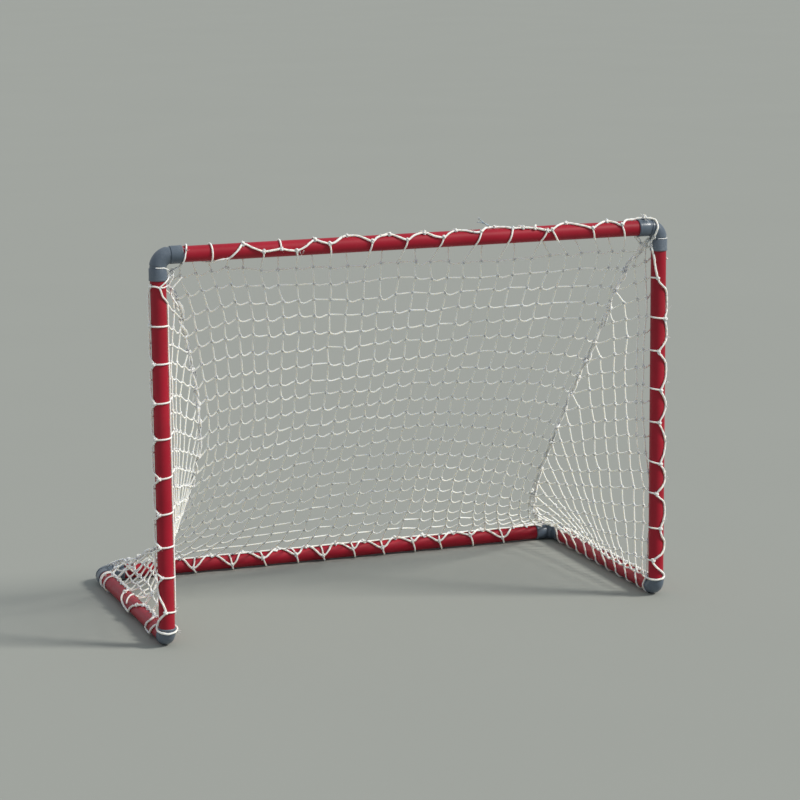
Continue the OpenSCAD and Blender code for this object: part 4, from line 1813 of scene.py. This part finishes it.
@dataclass
class Ropes:
    """The border ropes along the tubes, with their knots and frayed fibres."""

    seed: int = 23
    pitch: float = 0.020
    step: float = 2.4
    sides: int = 12
    radius: float = TUBE_R + ROPE_R + 0.0004
    seam_r: float = 0.0052

    def rope(self, name: str, path: np.ndarray, finishes: Finishes, node: str,
             knots: Iterable[np.ndarray] = (),
             extra: Callable[[StrandMesh, Fibres], None] | None = None) -> None:
        """Builds one rope.

        Args:
            name: The piece's name.
            path: The rope's points.
            finishes: The goal's materials.
            node: The solid that it stands for.
            knots: Points where a twine is hitched to it.
            extra: Adds more strands to the same mesh.
        """
        rng = np.random.default_rng(self.seed + len(name))
        mesh = StrandMesh(name)
        thick = ROPE_R * (1 + 0.07 * smooth_noise(rng, (1, len(path)), 4.0)[0])
        mesh.lay(path, thick, self.sides, Section.LAID, self.pitch)
        fibres = Fibres(mesh, rng)
        fibres.fuzz(path, ROPE_R, 0.004)
        hitch = KnotShape(0.0038, 0.0026, 25, 7)
        for point in knots:
            near = int(np.argmin(np.linalg.norm(path - point, axis=1)))
            tangent = unit(path[min(near + 1, len(path) - 1)] - path[max(near - 1, 0)])
            matrix = frame_matrix(rng.standard_normal(3), tangent, rng.uniform(0.9, 1.15), rng.uniform(0, 6))
            mesh.stamp(hitch, matrix, path[near])
            fibres.tuft(path[near], unit(rng.standard_normal(3)), 0.009, int(rng.integers(2, 8)))
        if extra:
            extra(mesh, fibres)
        mesh.build(finishes.cord, Slot.CORD, node)
        LOG.info("%s is %.3f m long", name, mesh.paths[0])

    def crossbar(self, finishes: Finishes) -> None:
        """Builds the rope that winds along the crossbar.

        Args:
            finishes: The goal's materials.
        """
        path = round_tube(CROSSBAR, smooth_table(CROSSBAR_ROPE, self.step, self.radius))
        ties = [*CROSSBAR_HOOKS.values(), *CROSSBAR_CRESTS.values()]
        knots = [CROSSBAR.at(rope_angle(CROSSBAR_ROPE, x), x * MM, self.radius) for x in ties]

        def tufts(mesh: StrandMesh, fibres: Fibres) -> None:
            """Adds the frayed strands below the fourth hook and the tufts along the top.

            Args:
                mesh: The rope's mesh.
                fibres: Its loose fibres.
            """
            for x, angle, reach in ((-389, 205, 0.016), (-380, 208, 0.020), (-368, 204, 0.014)):
                root = CROSSBAR.at(angle - 12, x * MM, self.radius)
                ahead = CROSSBAR.at(angle + 40, x * MM, self.radius)
                fibres.tuft(root, unit(ahead - root), reach, 5, 0.25, 0.0007)
            places = ((-240, 120), (-120, 126), (20, 116), (180, 136), (255, 88), (410, 150), (-610, 224))
            fibres.stand_off(CROSSBAR, places, self.radius, 0.009, 6)

        self.rope("crossbar_border_rope", path, finishes, "crossbar_rope", knots, extra=tufts)

    def rear(self, finishes: Finishes) -> None:
        """Builds the zigzag rope on the rear bar's front.

        Args:
            finishes: The goal's materials.
        """
        ties = [(x, a) for _, x, a in REAR_ROPE_HOOKS] + [(x, 96) for _, x in REAR_ROPE_CRESTS]
        ties = [(-738, 100)] + sorted(ties) + [(700, 92), (733, 90)]
        path = round_tube(REAR_BAR, smooth_table(ties, self.step, self.radius))
        knots = [REAR_BAR.at(a, x * MM, self.radius) for x, a in ties[1:-2]]
        self.rope("rear_bar_border_rope", path, finishes, "rear_bar_rope", knots)

    def posts(self, finishes: Finishes) -> None:
        """Builds the ropes on the two posts.

        Args:
            finishes: The goal's materials.
        """
        left = post_axis(Side.LEFT)
        ties: list[tuple] = []
        for (z, angle), (below, _) in zip(LEFT_POST_LEGS, LEFT_POST_LEGS[1:]):
            if below == LEFT_POST_LEGS[-1][0]:
                ties += [(z, angle), (205, -24), (190, -12), (172, -18), (155, -35), (140, -53), (126, -65)]
                continue
            gap, out = z - below, self.radius / MM + 2.0
            ties += [(z, angle), (z - 0.22 * gap, 8, out), (z - 0.5 * gap, 16, out), (z - 0.78 * gap, 8, out)]
        table = smooth_table(ties + LEFT_FOOT_ROPE, self.step, self.radius)
        knots = [left.at(a, z * MM, self.radius) for z, a in LEFT_POST_LEGS]

        def left_tuft(mesh: StrandMesh, fibres: Fibres) -> None:
            """Adds the big frayed knot low on the left post and the tufts at its foot.

            Args:
                mesh: The rope's mesh.
                fibres: Its loose fibres.
            """
            root = left.at(4, 0.305, self.radius + 0.001)
            fibres.tuft(root, unit(np.array([-1.0, -0.3, 0.4])), 0.013, 22, 0.6, 0.0007)
            root = left.at(-160, 0.118, self.radius)
            fibres.tuft(root, unit(np.array([0.6, -0.6, 0.6])), 0.010, 10, 0.5, 0.0006)
            root = left.at(-150, 0.050, 0.031)
            fibres.tuft(root, unit(np.array([0.9, -0.4, -0.2])), 0.012, 14, 0.5, 0.0007)

        self.rope("left_post_border_rope", round_tube(left, table), finishes, "left_post_rope", knots,
                  extra=left_tuft)
        right = post_axis(Side.RIGHT)
        table = smooth_table(RIGHT_POST_ROPE, self.step, self.radius)
        knots = [right.at(a, z * MM, self.radius) for z, a in RIGHT_POST_LEGS]

        def right_tufts(mesh: StrandMesh, fibres: Fibres) -> None:
            """Adds the tufts on the right post's outer side."""
            places = ((935, -30), (844, -35), (700, -46), (621, -42), (505, -42), (389, -42), (250, -60))
            fibres.stand_off(right, places, self.radius, 0.010, 9)

        self.rope("right_post_border_rope", round_tube(right, table), finishes, "right_post_rope", knots,
                  extra=right_tufts)

    def side_bars(self, finishes: Finishes) -> None:
        """Builds the ropes on the two side bars.

        Args:
            finishes: The goal's materials.
        """
        for side, ties in ((Side.LEFT, LEFT_SIDE_ROPE), (Side.RIGHT, RIGHT_SIDE_ROPE)):
            axis = side_bar_axis(side)
            path = round_tube(axis, smooth_table(ties, self.step, self.radius))
            knots = [axis.at(a, y * MM, self.radius) for y, a in ties if a > 60]

            def lashings(mesh: StrandMesh, fibres: Fibres, axis: TubeAxis = axis) -> None:
                """Adds the rings at the bar's rear end and the loose twine near its middle.

                Args:
                    mesh: The rope's mesh.
                    fibres: Its loose fibres.
                    axis: The bar.
                """
                mesh.lay(wrap(axis, (0.262, 112), (0.276, -250), LEG_REACH + 0.0002), LEG_R, 8)
                mesh.lay(wrap(axis, (0.300, 100), (0.312, 470), LEG_REACH), LEG_R, 8)
                mesh.lay(wrap(axis, (0.322, 120), (0.318, -240), LEG_REACH), LEG_R, 8)
                mesh.lay(wrap(axis, (0.025, 112), (-0.020, 20), LEG_REACH), LEG_R, 8)
                fibres.tuft(axis.at(60, 0.290, self.radius), unit(axis.at(60, 0.29, 1.0)), 0.010, 12)

            word = side.name.lower()
            extra = lashings if side is Side.LEFT else None
            self.rope(f"{word}_side_border_rope", path, finishes, f"{word}_side_rope", knots, extra=extra)

    def seams(self, finishes: Finishes) -> None:
        """Builds the two seam cords, with the knots where the nets meet.

        Args:
            finishes: The goal's materials.
        """
        count = 560
        share = np.linspace(0, 1, count)
        for side in Side:
            rng = np.random.default_rng(self.seed + 5 * side.value)
            ends = np.clip(np.minimum(share, 1 - share) / 0.045, 0, 1)
            sway = [0.0042 * ends * smooth_noise(rng, (1, count), 6.0)[0] for _ in range(6)]
            route = seam_point(side, share)
            mesh = StrandMesh(f"{side.name.lower()}_seam_lacing")
            thin = 1 - 0.30 * share
            strands = (
                (route + np.column_stack(sway[:3]), self.seam_r, 10, 0.020),
                (route + np.column_stack(sway[3:]), 0.0042, 8, 0.016),
                (route + np.column_stack([sway[5], sway[0], sway[1]]) * 1.3, 0.0036, 8, 0.016),
            )
            for path, radius, sides, pitch in strands:
                uneven = 1 + 0.18 * smooth_noise(rng, (1, count), 6.0)[0]
                mesh.lay(path, thin * radius * uneven, sides, Section.LAID, pitch)
            fibres = Fibres(mesh, rng)
            fibres.fuzz(strands[0][0], self.seam_r, 0.004)
            lump = KnotShape(0.0054, 0.0040, 25, 6)
            for row in range(1, MESH_ROWS):
                at = seam_tie(side, row)
                matrix = frame_matrix(
                    rng.standard_normal(3), np.array([0.3, 0.5, -0.8]), rng.uniform(0.75, 1.15),
                    rng.uniform(0, 6),
                )
                mesh.stamp(lump, matrix, at)
                fibres.tuft(at, unit(rng.standard_normal(3)), 0.009, int(rng.integers(0, 7)))
            mesh.build(finishes.seam, Slot.CORD, f"{side.name.lower()}_seam_cord")
            LOG.info("%s is %.3f m long", mesh.name, mesh.paths[0])

    def build(self, finishes: Finishes) -> None:
        """Builds every rope.

        Args:
            finishes: The goal's materials.
        """
        self.crossbar(finishes)
        self.rear(finishes)
        self.posts(finishes)
        self.side_bars(finishes)
        self.seams(finishes)


def upright(x: float, z: float, y: float = MOUTH_Y / MM) -> np.ndarray:
    """A point in mm, by default in the upright plane of the crossbar and the posts."""
    return np.array([x, y, z]) * MM


def around(axis: TubeAxis, *rows: tuple[float, float, float]) -> list[np.ndarray]:
    """Points round a tube from rows of a place in mm, an angle and a distance from the axis in mm."""
    return [axis.at(angle, place * MM, radius * MM) for place, angle, radius in rows]


@dataclass
class CornerLashings:
    """The loose cords at the two top corners, with their knots and frayed ends."""

    seed: int = 61

    def __post_init__(self) -> None:
        """Starts the random source."""
        self.rng = np.random.default_rng(self.seed)

    def knot(self, mesh: StrandMesh, at: np.ndarray, size: float) -> None:
        """Adds a tight knot at a point.

        Args:
            mesh: The mesh it goes into.
            at: The point.
            size: Size factor.
        """
        shape = KnotShape(0.0036, 0.0019, 25, 7)
        matrix = frame_matrix(self.rng.standard_normal(3), self.rng.standard_normal(3), size, 0.0)
        mesh.stamp(shape, matrix, at)

    def top_left(self, finishes: Finishes) -> None:
        """Builds the lashing under the left elbow.

        Args:
            finishes: The goal's materials.
        """
        post = post_axis(Side.LEFT)
        mesh = StrandMesh("top_left_lashing")
        fibres = Fibres(mesh, self.rng)
        join, low, near = upright(-776.5, 1129), upright(-780.4, 1099.4), upright(-769.9, 1089.9)
        mesh.lay(smooth_path([
            *around(CROSSBAR, (-723, 60, 27.7), (-723, 96, 27.7), (-727, 135, 27.7), (-731, 165, 27.7),
                    (-734, 200, 27.7), (-738, 229, 30.6)),
            upright(-739, 1160), upright(-748.5, 1152.7), upright(-757.7, 1150.2), upright(-767, 1143.3),
            upright(-773.1, 1143.7), upright(-764.3, 1131.3), join,
        ]), 0.0029, 10, Section.LAID, 0.018)
        mesh.lay(smooth_path([
            *around(post, (1157.5, -62, 26.2), (1157.5, -80, 26.2), (1157, -100, 26.2), (1156, -125, 26.4)),
            upright(-773.1, 1143.7), upright(-762.9, 1128.2), low,
        ]), 0.0019, 8)
        mesh.lay(smooth_path([
            join, *around(post, (1122, -150, 31), (1113, -120, 29.5), (1105, -100, 26.6), (1099, -81, 26.6)),
        ]), 0.0026, 10, Section.LAID, 0.018)
        mesh.lay(smooth_path([*around(post, (1099, -81, 26.8), (1099, -110, 27.5)), low, near]), 0.0021, 8)
        mesh.lay(smooth_path([near, upright(-737, 1123.7)]), TWINE_R, 8)
        mesh.lay(smooth_path([
            near, upright(-768, 1070, -405), upright(-756, 1051, -395), upright(-743, 1035, -380),
            upright(-738, 1021, -360), seam_point(Side.LEFT, 0.125)[0],
        ]), 0.0028, 10, Section.LAID, 0.018)
        for at, size in ((upright(-767, 1143.3), 1.2), (join, 1.1), (near, 1.0), (low, 0.8)):
            self.knot(mesh, at, size)
            fibres.tuft(at, unit(self.rng.standard_normal(3)), 0.008, 6)
        root = CROSSBAR.at(150, -0.727, 0.0300)
        fibres.tuft(root, unit(np.array([-0.2, -0.9, 0.3])), 0.009, 14, 0.6, 0.0007)
        mesh.build(finishes.cord, Slot.CORD)
        LOG.info("%s is %.3f m long", mesh.name, sum(mesh.paths[:6]))

    def bend_point(self, along: float, around_it: float) -> np.ndarray:
        """A point just off the right elbow's bend.

        Args:
            along: Degrees round the bend, from the crossbar's hub.
            around_it: Degrees from its outer side towards the front.

        Returns:
            The point.
        """
        a, b = math.radians(along), math.radians(around_it)
        out = np.array([math.sin(a), 0.0, math.cos(a)])
        centre = np.array([HALF_W - 0.038, MOUTH_Y, TOP_Z - 0.038])
        return centre + 0.038 * out + 0.0297 * (math.cos(b) * out + math.sin(b) * np.array([0.0, -1.0, 0.0]))

    def top_right(self, finishes: Finishes) -> None:
        """Builds the rope over the right elbow, with its frayed knots.

        Args:
            finishes: The goal's materials.
        """
        post = post_axis(Side.RIGHT)
        mesh = StrandMesh("top_right_lashing")
        fibres = Fibres(mesh, self.rng)
        bend = ((8, 8), (16, 15), (19.2, 22.7), (24.7, 57), (29.5, 84), (37.6, 121), (60, 145), (80, 156))
        path = smooth_path([
            *around(CROSSBAR, (727, 84, 27.7), (738, 85, 30.7), (752, 87, 30.9), (765, 92, 30.7)),
            *(self.bend_point(*pair) for pair in bend),
            *around(post, (1150, 200, 31), (1140, 195, 31), (1132, 199, 31), (1122, 206, 31),
                    (1108, 210, 28.4)),
        ])
        mesh.lay(path, ROPE_R, 12, Section.LAID, 0.020)
        fibres.fuzz(path, ROPE_R, 0.004)
        mesh.lay(smooth_path(around(
            post, (1157.5, -30, 26.4), (1157.5, -60, 26.4), (1157.5, -90, 26.4), (1157.5, -120, 26.4)
        )), 0.0014, 6)
        for at, size in (
            (CROSSBAR.at(88, 0.760, 0.0318), 1.5), (self.bend_point(55, 140), 1.1),
            (post.at(195, 1.137, 0.031), 1.0),
        ):
            self.knot(mesh, at, size)
            fibres.tuft(at, unit(self.rng.standard_normal(3)), 0.008, 8)
        top = CROSSBAR.at(92, 0.762, 0.0320)
        for target in (upright(753.8, 1236.6), upright(768.2, 1231.1), upright(756.4, 1212.9, -446)):
            way = target - top
            fibres.tuft(top, unit(way), float(np.linalg.norm(way)), 9, 0.16, 0.0007)
        web = [upright(725, 1178, -398), upright(757, 1140, -398), upright(783, 1157, -402)]
        mesh.lay(smooth_path(web), TWINE_R, 8)
        cross = [upright(728, 1085, -395), upright(757, 1140, -398), upright(740, 1166, -400)]
        mesh.lay(smooth_path(cross), TWINE_R, 8)
        self.knot(mesh, web[1], 1.0)
        mesh.build(finishes.cord, Slot.CORD)
        LOG.info("%s is %.3f m long", mesh.name, mesh.paths[0])

    def blue_end(self, finishes: Finishes) -> None:
        """Builds the blue-grey frayed end that stands up off the crossbar's rope.

        Args:
            finishes: The goal's materials.
        """
        mesh = StrandMesh("frayed_blue_end")
        fibres = Fibres(mesh, self.rng)
        root, fork = BLUE_END[0], BLUE_END[1]
        stem = smooth_path([root, (root + fork) / 2 + np.array([0, 0, 0.001]), fork])
        mesh.lay(stem, 0.0021, 8, Section.LAID, 0.012)
        for tip in BLUE_END[2:]:
            middle = (fork + tip) / 2 + np.array([0, 0, 0.0012])
            path = smooth_path([fork, middle, tip])
            mesh.lay(path, np.linspace(0.0020, 0.0012, len(path)), 8, Section.LAID, 0.012, closed_tip=True)
            fibres.fuzz(path, 0.0018, 0.0012)
            fibres.tuft(tip, unit(tip - fork), 0.007, 12, 0.35, 0.0005)
        mesh.build(finishes.frayed, Slot.CORD)

    def build(self, finishes: Finishes) -> None:
        """Builds all of them.

        Args:
            finishes: The goal's materials.
        """
        self.top_left(finishes)
        self.top_right(finishes)
        self.blue_end(finishes)


# ---------------------------------------------------------------------------
# Stage
# ---------------------------------------------------------------------------


@dataclass(frozen=True)
class Studio:
    """The pale floor, the soft light and the camera."""

    floor: tuple[float, float, float] = (0.32, 0.33, 0.305)
    camera_at: tuple[float, float, float] = (-2.8536, -8.2171, 2.3036)
    yaw: float = 0.3443
    pitch: float = 0.1908
    roll: float = 0.0095
    focal_px: float = 2753.7
    picture_px: float = 800.0
    sensor: float = 36.0

    def add_floor(self) -> None:
        """Adds a wide plain floor."""
        bm = bmesh.new()
        bmesh.ops.create_grid(bm, x_segments=8, y_segments=8, size=150.0)
        mesh = bpy.data.meshes.new("floor")
        bm.to_mesh(mesh)
        bm.free()
        material, n, shader, coords = start_material("Pale floor")
        cloud = n.noise(coords.outputs["Object"], 0.8, 3.0, 0.5)
        pale = tuple(c * 1.04 for c in self.floor)
        n.join(n.mix(cloud, self.floor, pale), shader.inputs["Base Color"])
        shader.inputs["Roughness"].default_value = 0.95
        shader.inputs["Specular IOR Level"].default_value = 0.1
        mesh.materials.append(material)
        floor = bpy.data.objects.new("floor", mesh)
        bpy.context.scene.collection.objects.link(floor)

    def add_light(self) -> None:
        """Adds a soft key from the upper right and an even sky."""
        key = bpy.data.lights.new("key", "SUN")
        key.energy = 3.1
        key.angle = math.radians(14)
        key.color = (1.0, 0.97, 0.91)
        lamp = bpy.data.objects.new("key", key)
        toward = Vector((0.69, -0.38, 0.62))
        lamp.rotation_euler = toward.to_track_quat("Z", "Y").to_euler()
        bpy.context.scene.collection.objects.link(lamp)
        world = bpy.data.worlds.new("sky")
        bpy.context.scene.world = world
        world.use_nodes = True
        background = world.node_tree.nodes["Background"]
        background.inputs["Color"].default_value = (0.86, 0.93, 1.0, 1)
        background.inputs["Strength"].default_value = 0.54

    def add_camera(self) -> None:
        """Adds the camera."""
        sy, cy = math.sin(self.yaw), math.cos(self.yaw)
        sp, cp = math.sin(self.pitch), math.cos(self.pitch)
        forward = Vector((sy * cp, cy * cp, -sp))
        right = Vector((cy, -sy, 0))
        down = forward.cross(right)
        sr, cr = math.sin(self.roll), math.cos(self.roll)
        image_x = right * cr + down * sr
        image_y = down * cr - right * sr
        turn = Matrix((image_x, -image_y, -forward)).transposed().to_4x4()
        data = bpy.data.cameras.new("camera")
        data.sensor_width = self.sensor
        data.lens = self.focal_px * self.sensor / self.picture_px
        data.clip_end = 500.0
        camera = bpy.data.objects.new("camera", data)
        camera.matrix_world = Matrix.Translation(self.camera_at) @ turn
        bpy.context.scene.collection.objects.link(camera)
        bpy.context.scene.camera = camera

    def build(self) -> None:
        """Sets the whole stage."""
        bpy.context.scene.view_settings.view_transform = "Standard"
        self.add_camera()
        self.add_floor()
        self.add_light()


def main() -> None:
    """Builds the stage and then every sub-assembly."""
    logging.basicConfig(level=logging.INFO, format="%(message)s")
    Studio().build()
    finishes = Finishes()
    Tubes().dress(finishes)
    make_elbows(finishes)
    BackNet().build(finishes)
    for side in Side:
        SideNet(side).build(finishes)
    Ropes().build(finishes)
    CornerLashings().build(finishes)


if __name__ == "__main__":
    main()
